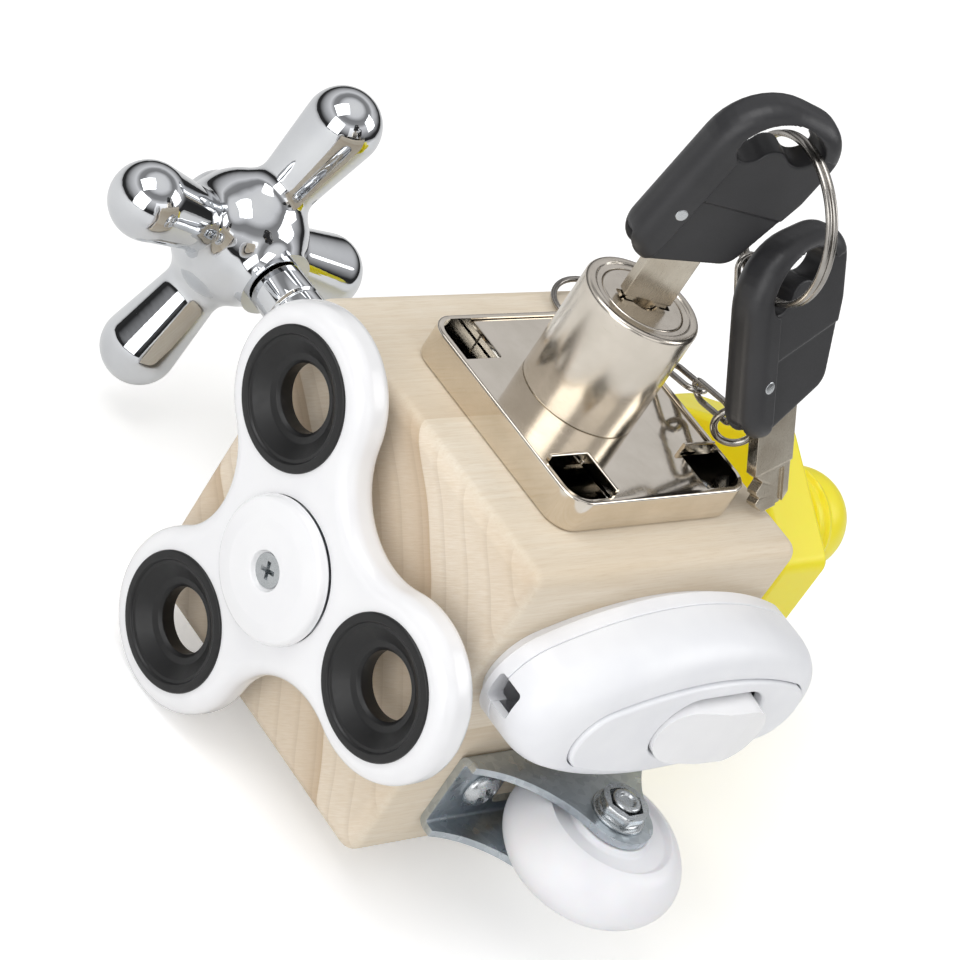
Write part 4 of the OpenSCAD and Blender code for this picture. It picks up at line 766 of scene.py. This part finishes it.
# Keys
key = {"bladeOff": 5.5, "bladeWidth": 7.4, "bladeThick": 2.0, "tip": 35.5, "stop": 17.4, "stopWidth": 8.4,
    "tang": 2.9, "cuts": (0.08, 0.2, 0.12, 0.26, 0.1, 0.18), "cutPitch": 2.6, "tipCut": 1.556, "thick": 7.2,
    "panel": 5.0, "pocket": 3.8, "rim": 5.0, "beanAt": (7.4, 12.6), "beanBend": 5.2, "beanHalf": 2.75,
    "slotHalf": 1.3, "left": -3.6, "right": 17.2, "top": 22.4, "crown": 10.5, "pinRadius": 1.1, "height": 42.8,
    "headTilt": -9, "spareTip": 24.4, "spareAt": (13.91, 14.43, 21.55), "spareTurns": {"Z": 1.5, "Y": -21.4,
    "X": 17.4}}
upright = Matrix(((0, 0, 1, 0), (1, 0, 0, 0), (0, 1, 0, 0), (0, 0, 0, 1)))


def bladeShape(tip):
    s = key
    bladeOff, bladeWidth, tipCut, stop = s["bladeOff"], s["bladeWidth"], s["tipCut"], s["stop"]
    tang = s["tang"]
    low, high = bladeOff - bladeWidth / 2, bladeOff + bladeWidth / 2
    stopLow, stopHigh = bladeOff - s["stopWidth"] / 2, bladeOff + s["stopWidth"] / 2
    points = [(low + tipCut, -tip, 0.4), (high - tipCut, -tip, 0.4), (high, -tip + tipCut, 0.4), (high, -stop, 0.1),
        (stopHigh, -stop, 0.35), (stopHigh, 0, 0.3), (tang, 0)]
    points += arc(0, 0, tang, 8, 262, 30) + [(0.6, -tang), (stopLow, -tang - 0.05, 0.4), (stopLow, -stop, 0.35),
        (low, -stop, 0.1)]
    for i in reversed(range(len(s["cuts"]))):
        middle = -s["tip"] + 2.2 + (i + 0.5) * s["cutPitch"]
        depth = s["cuts"][i] * bladeWidth
        if middle - depth > -tip + tipCut:
            points += [(low, middle + min(depth, 1.25), 0.15), (low + depth, middle, 0.25),
                (low, middle - min(depth, 1.25), 0.15)]
    points += [(low, -tip + tipCut, 0.4)]
    halfThick = s["bladeThick"] / 2
    blank = plate(rounded(points, True, 4), -halfThick, halfThick, 0.14)
    grooves = [plate(roundRect(1.6, tip - stop + 2, 0.5, 4, bladeOff + 1.6, -(tip + stop) / 2 - 1.4), *span, 0.1)
        for span in ((halfThick - 0.5, halfThick + 1), (-halfThick - 1, -halfThick + 0.5))]
    return at(cut(blank, *grooves), upright)


# Moulded head: a thick round bar down one side and over the crown, with a thinner panel let in beside it;
# cut from the blank, then remeshed finely and relaxed, so that every edge is as soft as a moulding's
def headShape():
    s = key
    top, left, crown, rim = s["top"], s["left"], s["crown"], s["rim"]
    outline = arc(1.4, -4.9, 5, 180, 270, 10) + rounded([(1.4, -9.9), (14.7, -5.1, 3.3), (s["right"], 9, 6),
        (s["right"], top, 7), (left, top, crown), (left, -4.9)], False, 10)[1:-1]
    blank = plate(outline, -s["thick"] / 2, s["thick"] / 2, 2.9, [], 8)
    inner = left + rim
    middle = left + crown
    panel = [(inner, -12), (30, -12), (30, top - rim)] + arc(middle, top - crown, crown - rim, 90, 180, 12)
    pocket = [(inner, -12), (30, -12), (30, 7.6), (inner, 2.6)]
    (cx, cy), r, w = s["beanAt"], s["beanBend"], s["beanHalf"]
    ends = arc(cx, cy, r, 165, 55, 1)
    bean = (arc(cx, cy, r + w, 55, 165, 20)[:-1] + arc(*ends[0], w, 165, 345, 14)[:-1] + arc(cx, cy, r - w, 165, 55,
        14)[:-1] + arc(*ends[1], w, 235, 415, 14)[:-1])
    cutters = [plate(bean, -6, 6, 0)]
    for side in (1, -1):
        for shape, level in ((panel, s["panel"] / 2), (pocket, s["pocket"] / 2)):
            span = (level, 6) if side > 0 else (-6, -level)
            cutters.append(plate(shape, *span, 0))
    cutters.append(plate([(-3.2, -12), (30, -12), (30, 3.2), (-3.2, 3.2)], -s["slotHalf"], s["slotHalf"], 0))
    soft = modified(cut(blank, *cutters), remesh={"mode": "VOXEL", "voxel_size": 0.2},
        smooth={"factor": 0.5, "iterations": 7})
    return at(soft, upright)


def buildKeys():
    s = key
    head = headShape()
    end = s["thick"] / 2 + 0.06
    pin = lathe(rounded([(0, -end), (s["pinRadius"], -end, 0.3), (s["pinRadius"], end, 0.3), (0, end)], False, 4), 40)
    lockPlace = onTop(lock["x"], lock["y"]) @ spun("Z", -lock["keyTurn"]) @ moved(0, -s["bladeOff"], s["height"])
    sparePlace = onTop(*s["spareAt"])
    for axis, degrees in s["spareTurns"].items():
        sparePlace = sparePlace @ spun(axis, degrees)
    piece("keyBlade", bladeShape(s["tip"]), lockPlace, bladeMetal, "key", 30)
    piece("keyHead", head, lockPlace @ spun("X", s["headTilt"]), blackKey, "head", 60, False)
    piece("keyPin", at(pin, spun("Y", 90)), lockPlace, bright, "key", 34)
    piece("spareKeyBlade", bladeShape(s["spareTip"]), sparePlace, bladeMetal, "spare_blade", 30)
    piece("spareKeyHead", head, sparePlace, blackKey, "spare_head", 60, False)
    piece("spareKeyPin", at(pin, spun("Y", 90)), sparePlace, bright, "spare_head", 34)


# Split ring, chain, small rings and screw eye
chain = {"length": 10.9, "width": 4.8, "wire": 0.5, "hang": 1.1, "lower": {"from": (-19.1, 24.78, 2.72),
    "to": (10.86, 18.65, 11.6), "links": 4, "roll": 120, "twist": 120}, "upper": {"from": (12.31, 20.5, 13.08),
    "to": (2.5, 13.32, 34.19), "links": 3, "roll": 0, "twist": 70}, "joining": {"at": (12.45, 20.85, 9.9),
    "radius": 3.2, "wire": 0.6}, "eyeRing": {"radius": 5.2, "wire": 0.5, "lean": 14}, "eye": {"at": (-23.6, 27.3),
    "radius": 2.6, "wire": 0.75, "height": 3.35}}


def coil(radius, first, last, steps, height=lambda a: 0.0):
    return [(*polar(radius, a), height(a)) for a in (first + (last - first) * i / steps for i in range(steps + 1))]


def eased(value, low, high):
    t = min(1.0, max(0.0, (value - low) / (high - low)))
    return t * t * (3 - 2 * t)


def chainRun(run):
    p, q = Vector(run["from"]), Vector(run["to"])
    ahead = (q - p).normalized()
    first = chain["length"] / 2 - 2 * chain["wire"] - chain["hang"]
    up = Vector((0, 0, block["edge"]))
    return grown(chainLinks, {"First link": tuple(p + ahead * first + up), "Last link": tuple(q - ahead * first + up),
        "Links": run["links"], "Link length": chain["length"], "Link width": chain["width"],
        "Wire radius": chain["wire"], "Roll": math.radians(run["roll"]), "Twist": math.radians(run["twist"]),
        "Material": wire})


def buildChain():
    ring = {"radius": 12.5, "wire": 0.5}
    lift = 0.98 * ring["wire"]
    path = coil(ring["radius"], 12, 708, 260, lambda a: lift * (2 * eased(a, 338, 382) - 1))
    place = onTop(5.27, 9.8, 45.86) @ spun("Z", 77.9) @ spun("Y", 76.2)
    piece("keyRing", sweep(path, ring["wire"], (0, 0, 1), 16), place, wire, "ring", 60, False)
    piece("upperChain", chainRun(chain["upper"]), None, wire, "ring", 60, False)
    piece("lowerChain", chainRun(chain["lower"]), None, wire, "block", 60, False)
    joining, eyeRing, eye = chain["joining"], chain["eyeRing"], chain["eye"]
    place = onTop(*joining["at"]) @ spun("Z", -36.9) @ spun("Y", 91.7)
    made = sweep(coil(joining["radius"], 184, 536, 90), joining["wire"], (0, 0, 1), 16)
    piece("joiningRing", made, place, wire, "block", 60, False)
    place = onTop(*eye["at"], eye["height"]) @ spun("X", eyeRing["lean"]) @ moved(0, -eyeRing["radius"], 0)
    made = sweep(coil(eyeRing["radius"], 94, 450, 120), eyeRing["wire"], (0, 0, 1), 16)
    piece("eyeRing", made, place, wire, "block", 60, False)
    path = [(0, y, z) for y, z, _ in coil(eye["radius"], -80, 262, 70)]
    loop = at(sweep(path, eye["wire"], (1, 0, 0), 18), moved(0, 0, eye["height"]))
    shank = lathe([(0, -8.0), (0.4, -7.6), (1.0, -6.4), (1.0, -0.3), (0.85, 0.1), (0.75, 0.9), (0.3, 1.2), (0, 1.3)],
        28)
    piece("screwEye", joined(loop, shank), onTop(*eye["at"]), wire, "block", 60, False)


# Rocker switch on the right face
switch = {"y": 3.0, "z": 41.5, "length": 63.0, "width": 27.6, "height": 16.0, "wall": 1.6, "base": 4.2, "inlayX": 2.0,
    "inlayY": -1.2, "inlayLength": 50.0, "inlayWidth": 18.6, "rockerX": 3.5, "rockerY": 0.2, "pivot": 10.5,
    "tilt": 7.0, "rockerLength": 21.3, "rockerWidth": 10.9, "crown": 8.0, "hole": 5.0, "holeRise": 5.4}


def buildSwitch():
    s = switch
    length, inlayX, inlayY, base = s["length"], s["inlayX"], s["inlayY"], s["base"]
    wall, rockerWidth, crown = s["wall"], s["rockerWidth"], s["crown"]
    face = onRight(s["y"], s["z"])
    outer = oval(length, s["width"])
    lip = [(x + inlayX, y + inlayY) for x, y in oval(s["inlayLength"], s["inlayWidth"])]

    def between(first, second, share, z):
        return [(a[0] + (b[0] - a[0]) * share, a[1] + (b[1] - a[1]) * share, z) for a, b in zip(first, second)]
    loops = [between(inset(outer, 0.22), lip, 0, base), between(outer, lip, 0, base + 0.22)]
    loops += [between(outer, lip, 0, z) for z in (5.4, 6.6)]
    for k in range(1, 25):
        a = 90 * k / 24
        share = 1 - math.cos(math.radians(a))
        loops.append(between(outer, lip, share * 0.985, 7.2 + 7.5 * math.sin(math.radians(a)) ** 0.85))
    loops += [between(outer, lip, 1.0, 14.45), between(outer, lip, 1.0, 12.4)]
    inner = inset(outer, wall)
    loops += [between(inner, lip, 0.85, 12.2), between(inner, lip, 0.35, 11.0), between(inner, lip, 0, 7.0),
        between(inner, lip, 0, base)]
    hole = at(plate(roundRect(s["hole"], s["hole"], 0.7, 5), -length / 2 - 3, -length / 2 + 7, 0),
        moved(0, 0, s["holeRise"]) @ spun("Y", 90))
    cover = cut(loft(loops, joinEnds=True), hole)
    piece("switchCover", cover, face, whiteSatin, "block", 40)
    rim = plate(outer, wall, base - 0.04, 0.22, [inset(outer, 2 * wall)], 3)
    floor = plate(inset(outer, wall), 0, wall + 0.01, 0.1)
    piece("switchBase", joined(cut(rim, hole), floor), face, whiteSatin, "block", 40)
    top = s["height"] - 0.5
    opening = roundRect(s["rockerLength"] + 1.4, rockerWidth + 1.4, rockerWidth / 2 + 0.65, 16, s["rockerX"],
        s["rockerY"])
    inlay = plate(oval(s["inlayLength"] - 0.5, s["inlayWidth"] - 0.5), top - 2.0, top, 0.55, [opening], 5, 0.05)
    piece("switchInlay", inlay, face @ moved(inlayX, inlayY, 0), whiteSatin, "block", 40)
    # rocker: two nearly flat ends that meet in a crease over the pivot
    stadium = roundRect(s["rockerLength"], rockerWidth, rockerWidth / 2 - 0.02, 16)
    blank = plate(stadium, -2, crown + 2, 0)
    above = [(-14, crown - 1.75), (-5.6, crown - 0.42), (0, crown - 0.02), (5.6, crown - 0.42), (14, crown - 1.75),
        (14, crown + 5), (-14, crown + 5)]
    over = at(plate(above, -10, 10, 0), spun("X", 90))
    soft = {"width": 0.6, "segments": 4, "limit_method": "ANGLE", "angle_limit": math.radians(40)}
    place = face @ moved(inlayX + s["rockerX"], inlayY + s["rockerY"], s["pivot"]) @ spun("Y", -s["tilt"])
    piece("switchRocker", modified(cut(blank, over), bevel=soft), place, whiteGloss, "rocker", 32)


# Caster on the right face
caster = {"y": 2.5, "z": 14.0, "length": 42.0, "width": 15.4, "sheet": 1.3, "root": 3.2, "concave": 22.0, "tip": 6.2,
    "axle": 15.6, "wheel": 14.9, "wheelWidth": 12.2, "screwAt": 13.5, "shank": 2.4, "nut": 4}


def buildCaster():
    s = caster
    axle, concave = s["axle"], s["concave"]
    face = onRight(s["y"], s["z"])
    halfRoot, w, t = s["length"] / 2, s["width"] / 2, s["sheet"]
    toRoot = math.hypot(halfRoot, axle - s["root"])
    reach = concave + s["tip"]
    swing = math.degrees(math.acos((reach ** 2 + toRoot ** 2 - concave ** 2) / (2 * reach * toRoot))
        - math.atan((axle - s["root"]) / halfRoot))
    sx, sz = polar(reach, swing)
    sz += axle
    root = math.degrees(math.atan2(s["root"] - sz, halfRoot - sx))
    rim = (arc(sx, sz, concave, root, swing - 180, 40)[:-1] + arc(0, axle, s["tip"], swing, 180 - swing, 40)
        + arc(-sx, sz, concave, -swing, -180 - root, 40)[1:])
    loops = []
    for x, z in rim:
        bend, inside = 1.7, 0.5
        lowest = max(z, bend + 0.3)
        side = arc(w - bend, bend, bend, -90, 0, 6)
        under = arc(w - t - inside, t + inside, inside, 0, -90, 4)
        right = side + [(w, lowest), (w - t, lowest)] + under
        loops.append([(x, y, h) for y, h in right] + [(x, -y, h) for y, h in reversed(right)])
    channel = loft(loops)
    window = plate(roundRect(17, 9, 1.4, 5), -2, t + 2, 0)
    soft = {"width": 0.18, "segments": 2, "limit_method": "ANGLE", "angle_limit": math.radians(50)}
    piece("casterBracket", modified(cut(channel, window), bevel=soft), face, galvanised, "block", 30)
    # wheel: a crowned tread, rounded shoulders, and a shallow dish in each side
    r, h = s["wheel"], s["wheelWidth"] / 2
    side = rounded([(3.7, h - 0.6), (5.0, h, 0.5), (6.4, h, 0.4), (7.0, h - 0.9, 0.5), (9.8, h - 0.9, 0.6),
        (10.5, h - 0.05, 0.4), (11.8, h - 0.1, 1.4)], False, 8)
    tread = [(r - 2.7 * (z / (h - 0.9)) ** 2, z) for z in ((h - 0.9) * (1 - k / 10) for k in range(11))]
    profile = side[:-1] + tread + [(x, -z) for x, z in reversed(side[:-1] + tread[:-1])]
    piece("casterWheel", at(lathe(profile, 128, True), spun("X", -90)), face @ moved(0, 0, axle), whiteSoft, "wheel",
        36, False)
    end, shank, head = s["width"] + 3.2, s["shank"], 4.6
    bolt = rounded([(0, -2.0), (3.2, -2.0, 1.0), (head, -1.1, 0.8), (head, 0, 0.2), (shank, 0), (shank, end, 0.5),
        (1.5, end, 0.2), (1.2, s["width"] + 2.7, 0.2), (0, s["width"] + 2.6)], False, 5)
    piece("casterBolt", at(lathe(bolt, 48), spun("X", -90)), face @ moved(0, -w - 0.02, axle), bright, "block", 34)
    blank = plate(circle(4.5, 48), 0, 0.5, 0.12)
    hexNut = plate(hexagon(s["nut"], 0.9, 0, 5), 0.45, 2.7, 0.75, [circle(shank + 0.76, 40)], 5)
    piece("casterNut", at(joined(blank, hexNut), spun("X", -90)), face @ moved(0, w + 0.02, axle), bright, "block",
        34)
    screw = screwShape(headR=3.4, headH=1.9, shankR=1.7, length=14.3, slotW=1.0, slotD=1.3)
    screws = screwSet(screw, (2 * s["screwAt"], 0), (2, 1), 0.9, bright)
    piece("casterScrews", screws, face @ moved(0, 0, t + 0.02), bright, "block", 34)


# Tap on the left face
tap = {"y": 0.0, "z": 32.0, "bell": 13.0, "bellHeight": 10.0, "neck": 7.6, "collar": 8.8, "collarTop": 18.0,
    "sleeve": 4.8, "foot": 31.0, "hub": 11.5, "hubAt": 42.5, "rest": 18.5, "reach": 25.5, "ball": 6.6, "armRoot": 4.6,
    "cap": 5.95, "top": 55.0, "crown": 51.39, "well": 6.0, "wellFloor": 48.0}


def smoothUnion(a, b, k):
    h = np.clip(0.5 + 0.5 * (b - a) / k, 0, 1)
    return b + (a - b) * h - k * h * (1 - h)


# Distance to a cone with round ends
def roundCone(p, a, b, r1, r2):
    ba = b - a
    l2, rr = ba @ ba, r1 - r2
    a2 = l2 - rr * rr
    pa = p - a
    y = pa @ ba
    z = y - l2
    x2 = ((pa * l2 - np.outer(y, ba)) ** 2).sum(1)
    y2, z2 = y * y * l2, z * z * l2
    k = np.sign(rr) * rr * rr * x2
    out = (np.sqrt(x2 * a2 / l2) + y * rr) / l2 - r1
    out = np.where(np.sign(y) * a2 * y2 < k, np.sqrt(x2 + y2) / l2 - r1, out)
    return np.where(np.sign(z) * a2 * z2 > k, np.sqrt(x2 + z2) / l2 - r2, out)


def handleDistance(p):
    s = tap
    centre = np.array((0, 0, s["hubAt"]))
    body = np.linalg.norm(p - centre, axis=1) - s["hub"]
    foot = np.maximum(np.hypot(p[:, 0], p[:, 1]) - 6.5, np.abs(p[:, 2] - 34) - 4.5)
    body = smoothUnion(body, foot, 1.6)
    for i in range(4):
        a = math.radians(s["rest"] + 90 * i)
        way = np.array((math.cos(a), math.sin(a), 0))
        arm = roundCone(p, centre + way * 8.0, centre + way * s["reach"], s["armRoot"], s["ball"])
        body = smoothUnion(body, arm, 2.6)
    return body


def handleShape():
    s = tap
    hub, reach = s["hub"], s["reach"]
    ball = [(hub * math.sin(math.radians(a)), -hub * math.cos(math.radians(a))) for a in range(10, 180, 10)]
    ball = lathe([(0, -hub)] + ball + [(0, hub)], 36)
    parts = [at(ball, moved(0, 0, s["hubAt"])), lathe([(0, 29.0), (6.5, 29.0), (6.5, 38.0), (0, 38.0)], 36)]
    arm = lathe([(0, 4), (5.2, 4), (6.0, 20), (s["ball"], reach), (4.6, reach + 4.6), (0, reach + s["ball"])], 28)
    for i in range(4):
        parts.append(at(arm, moved(0, 0, s["hubAt"]) @ spun("Z", s["rest"] + 90 * i) @ spun("Y", 90)))
    made = modified(joined(*parts), remesh={"mode": "VOXEL", "voxel_size": 0.5})
    p = np.empty(len(made.vertices) * 3)
    made.vertices.foreach_get("co", p)
    p = p.reshape(-1, 3)
    for _ in range(8):
        d = handleDistance(p)
        slope = np.stack([(handleDistance(p + e) - d) / 1e-3 for e in np.eye(3) * 1e-3], 1)
        p = p - (d / np.maximum((slope ** 2).sum(1), 0.3))[:, None] * slope
    made.vertices.foreach_set("co", p.ravel())
    made.update()
    below = plate(circle(20, 24), 20, s["foot"], 0)
    above = plate(circle(20, 48), s["crown"], 60, 0)
    well = plate(circle(s["well"], 64), s["wellFloor"], 60, 0)
    return cut(made, below, above, well)


def buildTap():
    s = tap
    bellHeight, collarTop, sleeve, top = s["bellHeight"], s["collarTop"], s["sleeve"], s["top"]
    face = onLeft(s["y"], s["z"])
    bell = rounded([(3.1, 0), (s["bell"] - 0.2, 0, 0.1), (s["bell"], 0.4, 0.2), (s["bell"], 1.6, 0.5),
        (11.4, 2.3, 0.5), (9.3, 5.2, 6), (s["neck"] + 0.2, 8.9, 3), (s["neck"], bellHeight, 0.2), (3.1, bellHeight)],
        True, 8)
    piece("tapEscutcheon", lathe(bell, 128, True), face, mirror, "block", 34, False)
    c = bellHeight + 0.02
    collar = rounded([(3.1, c), (7.4, c, 0.2), (s["collar"], c + 0.5, 0.4), (s["collar"], c + 4.1, 0.6),
        (7.6, c + 4.9, 0.3), (7.2, c + 5.3, 0.2), (7.2, collarTop - 0.9, 0.3), (6.4, collarTop, 0.6),
        (3.1, collarTop)], True, 6)
    piece("tapCollar", lathe(collar, 128, True), face, mirror, "block", 34, False)
    stem = rounded([(0, -16), (2.6, -16, 0.3), (3, -15.4), (3, 18.02), (sleeve, 18.02, 0.3), (sleeve, 24.4, 0.2),
        (sleeve - 0.5, 24.9, 0.2), (sleeve, 25.4, 0.2), (sleeve, 30.6, 0.2), (3, 30.68), (3, 47.4, 0.3), (0, 47.5)],
        False, 4)
    piece("tapSpindle", lathe(stem, 72), face, mirror, "tap", 34, False)
    piece("tapHandle", handleShape(), face, mirror, "tap", 38)
    low = top - 5
    cap = rounded([(0, low), (s["cap"], low), (s["cap"], low + 2.2, 0.8), (s["cap"] - 1.6, top - 0.6, 2.0),
        (0, top - 0.02)], False, 8)
    piece("tapCap", lathe(cap, 72), face, mirror, "tap", 34, False)


# Toy bolt and nut on the back face
toy = {"z": 32.0, "flats": 40.6, "hexRound": 3.0, "head": 8.0, "core": 9.1, "thread": 10.2, "pitch": 3.3, "top": 47.6,
    "dome": 9.0, "nutLow": 17.0, "nutHigh": 29.0, "liner": 11.7, "bore": 10.5}


def buildToy():
    s = toy
    top, core, nutLow, nutHigh = s["top"], s["core"], s["nutLow"], s["nutHigh"]
    face = onBack(0, s["z"])
    outline = hexagon((s["flats"] / 2) / math.cos(math.radians(30)), s["hexRound"], 30, 8)
    head = plate(outline, 0, s["head"], 1.1, [], 5, 0.4)
    # a real helix: the radius follows height and angle together, and the ridge fades in and out at its ends
    steps, rows = 96, 230
    loops = []
    first, last = s["head"] - 0.5, top
    for k in range(rows + 1):
        z = first + (last - first) * k / rows
        fade = eased(z, s["head"] + 1.5, s["head"] + 5) * (1 - eased(z, top - 3.5, top - 0.5))
        loop = []
        for i in range(steps):
            a = 2 * math.pi * i / steps
            phase = (z / s["pitch"] - i / steps) % 1.0
            ridge = 0.5 - 0.5 * math.cos(2 * math.pi * phase)
            r = core + (s["thread"] - core) * fade * eased(ridge, 0.18, 0.85)
            loop.append((r * math.cos(a), r * math.sin(a), z))
        loops.append(loop)
    for k in range(1, 17):
        a = math.radians(90 * k / 16)
        r, z = core * max(math.cos(a), 1e-6), top + s["dome"] * math.sin(a)
        turns = (2 * math.pi * i / steps for i in range(steps))
        loops.append([(r * math.cos(turn), r * math.sin(turn), z) for turn in turns])
    piece("toyBolt", joined(head, loft(loops, True, False)), face, yellowGloss, "block", 36, False)
    nut = plate(outline, nutLow, nutHigh, 1.2, [circle(s["liner"] + 0.05, 96)], 5, 1.2)
    piece("toyNut", nut, face, yellowGloss, "nut", 36)
    liner = rounded([(s["bore"], nutLow + 0.9, 0.3), (s["liner"], nutLow + 0.9, 0.2), (s["liner"], nutHigh - 0.9,
        0.2), (s["bore"], nutHigh - 0.9, 0.3)], True, 4)
    piece("nutLiner", lathe(liner, 96, True), face, yellowGloss, "liner", 36, False)


for build in (buildBlock, buildSpinner, buildLock, buildKeys, buildChain, buildSwitch, buildCaster, buildTap,
        buildToy):
    build()
    print(build.__name__, "done")

# Inner pieces that keep the CAD's own shape and get a material
for nodeName in ("lock_cam", "lock_bolt", "rocker_pin", "switch_contacts", "switch_screws", "caster_bush",
        "tap_handle_screw", "toy_bolt_screw"):
    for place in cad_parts[nodeName].material_slots:
        place.material = brass if nodeName == "switch_contacts" else bright

# Floor, light and camera
stage = {"floor": -5.93, "floorSize": 3.0, "camera": (251.3, -398.5, 331.4), "right": (0.538, 0.696, 0.477),
    "up": (-0.704, 0.059, 0.707), "back": (0.464, -0.716, 0.522), "lens": 135.0, "target": (0.005, 0, 0.05)}


def makeFloor():
    pale = {"Base Color": linear("#f4f4f4"), "Roughness": 0.9, "Specular IOR Level": 0.1}
    made, tree, shader = shaded("paleFloor", **pale)
    look = node(tree, "ShaderNodeLightPath")
    glow = node(tree, "ShaderNodeEmission", {"Color": (1, 1, 1, 1), "Strength": 0.34})
    both = node(tree, "ShaderNodeAddShader", (shader, glow))
    mixed = node(tree, "ShaderNodeMixShader", (look.outputs["Is Camera Ray"], shader, both))
    out = [n for n in tree.nodes if n.type == "OUTPUT_MATERIAL"][0]
    tree.links.new(mixed.outputs[0], out.inputs[0])
    size = stage["floorSize"]
    z = stage["floor"] / 1000
    corners = [(-size, -size, z), (size, -size, z), (size, size, z), (-size, size, z)]
    ground = asObject(mesh(corners, [(0, 1, 2, 3)]), "floor")
    ground.data.materials.append(made)


def makeWorld():
    world = bpy.data.worlds.new("studio")
    scene.world = world
    world.use_nodes = True
    tree = world.node_tree
    tree.nodes.clear()
    way = node(tree, "ShaderNodeTexCoord")
    height = node(tree, "ShaderNodeSeparateXYZ", (way.outputs["Generated"],)).outputs[2]
    tone = node(tree, "ShaderNodeMapRange", (height, -0.2, 0.9, 0.28, 0.95))
    grey = node(tree, "ShaderNodeCombineColor", (tone, tone, tone))
    soft = node(tree, "ShaderNodeBackground", {"Color": grey, "Strength": 0.6})
    plain = node(tree, "ShaderNodeBackground", {"Color": (1, 1, 1, 1), "Strength": 1.0})
    look = node(tree, "ShaderNodeLightPath")
    mixed = node(tree, "ShaderNodeMixShader", (look.outputs["Is Camera Ray"], soft, plain))
    # polished metal sees a studio with a dark band between bright ceiling and floor
    bands = node(tree, "ShaderNodeValToRGB", (node(tree, "ShaderNodeMapRange", (height, -1, 1, 0, 1)),))
    stops = bands.color_ramp.elements
    stops[0].position, stops[0].color = 0.0, (0.75, 0.75, 0.76, 1)
    stops[1].position, stops[1].color = 1.0, (1, 1, 1, 1)
    tones = {0.36: 0.6, 0.43: 0.05, 0.56: 0.03, 0.66: 0.5, 0.78: 0.9, 0.84: 0.35, 0.9: 0.3, 0.95: 0.9}
    for place, value in tones.items():
        stops.new(place).color = (value, value, value * 1.02, 1)
    seen = node(tree, "ShaderNodeBackground", {"Color": bands, "Strength": 0.85})
    mixed = node(tree, "ShaderNodeMixShader", (look.outputs["Is Glossy Ray"], mixed, seen))
    node(tree, "ShaderNodeOutputWorld", (mixed,))


def lamp(name, where, size, watts):
    data = bpy.data.lights.new(name, "AREA")
    data.shape, data.size, data.size_y, data.energy = "RECTANGLE", size, size, watts
    made = bpy.data.objects.new(name, data)
    made.location = where
    made.rotation_euler = (Vector(stage["target"]) - Vector(where)).to_track_quat("-Z", "Y").to_euler()
    scene.collection.objects.link(made)


makeFloor()
makeWorld()
lamp("keyLight", (-0.15, -0.35, 0.75), 0.5, 2.3)
lamp("fillLight", (0.35, -1.0, 0.42), 0.8, 4.2)
lamp("sideLight", (0.75, -0.1, 0.3), 0.5, 0.5)
lamp("rimLight", (0.35, 0.55, 0.5), 0.4, 1.2)
data = bpy.data.cameras.new("photoCamera")
data.lens, data.sensor_width = stage["lens"], 36.0
camera = bpy.data.objects.new("photoCamera", data)
scene.collection.objects.link(camera)
scene.camera = camera
camera.matrix_world = Matrix([[stage[k][row] for k in ("right", "up", "back")] + [stage["camera"][row] / 1000]
    for row in range(3)] + [[0, 0, 0, 1]])
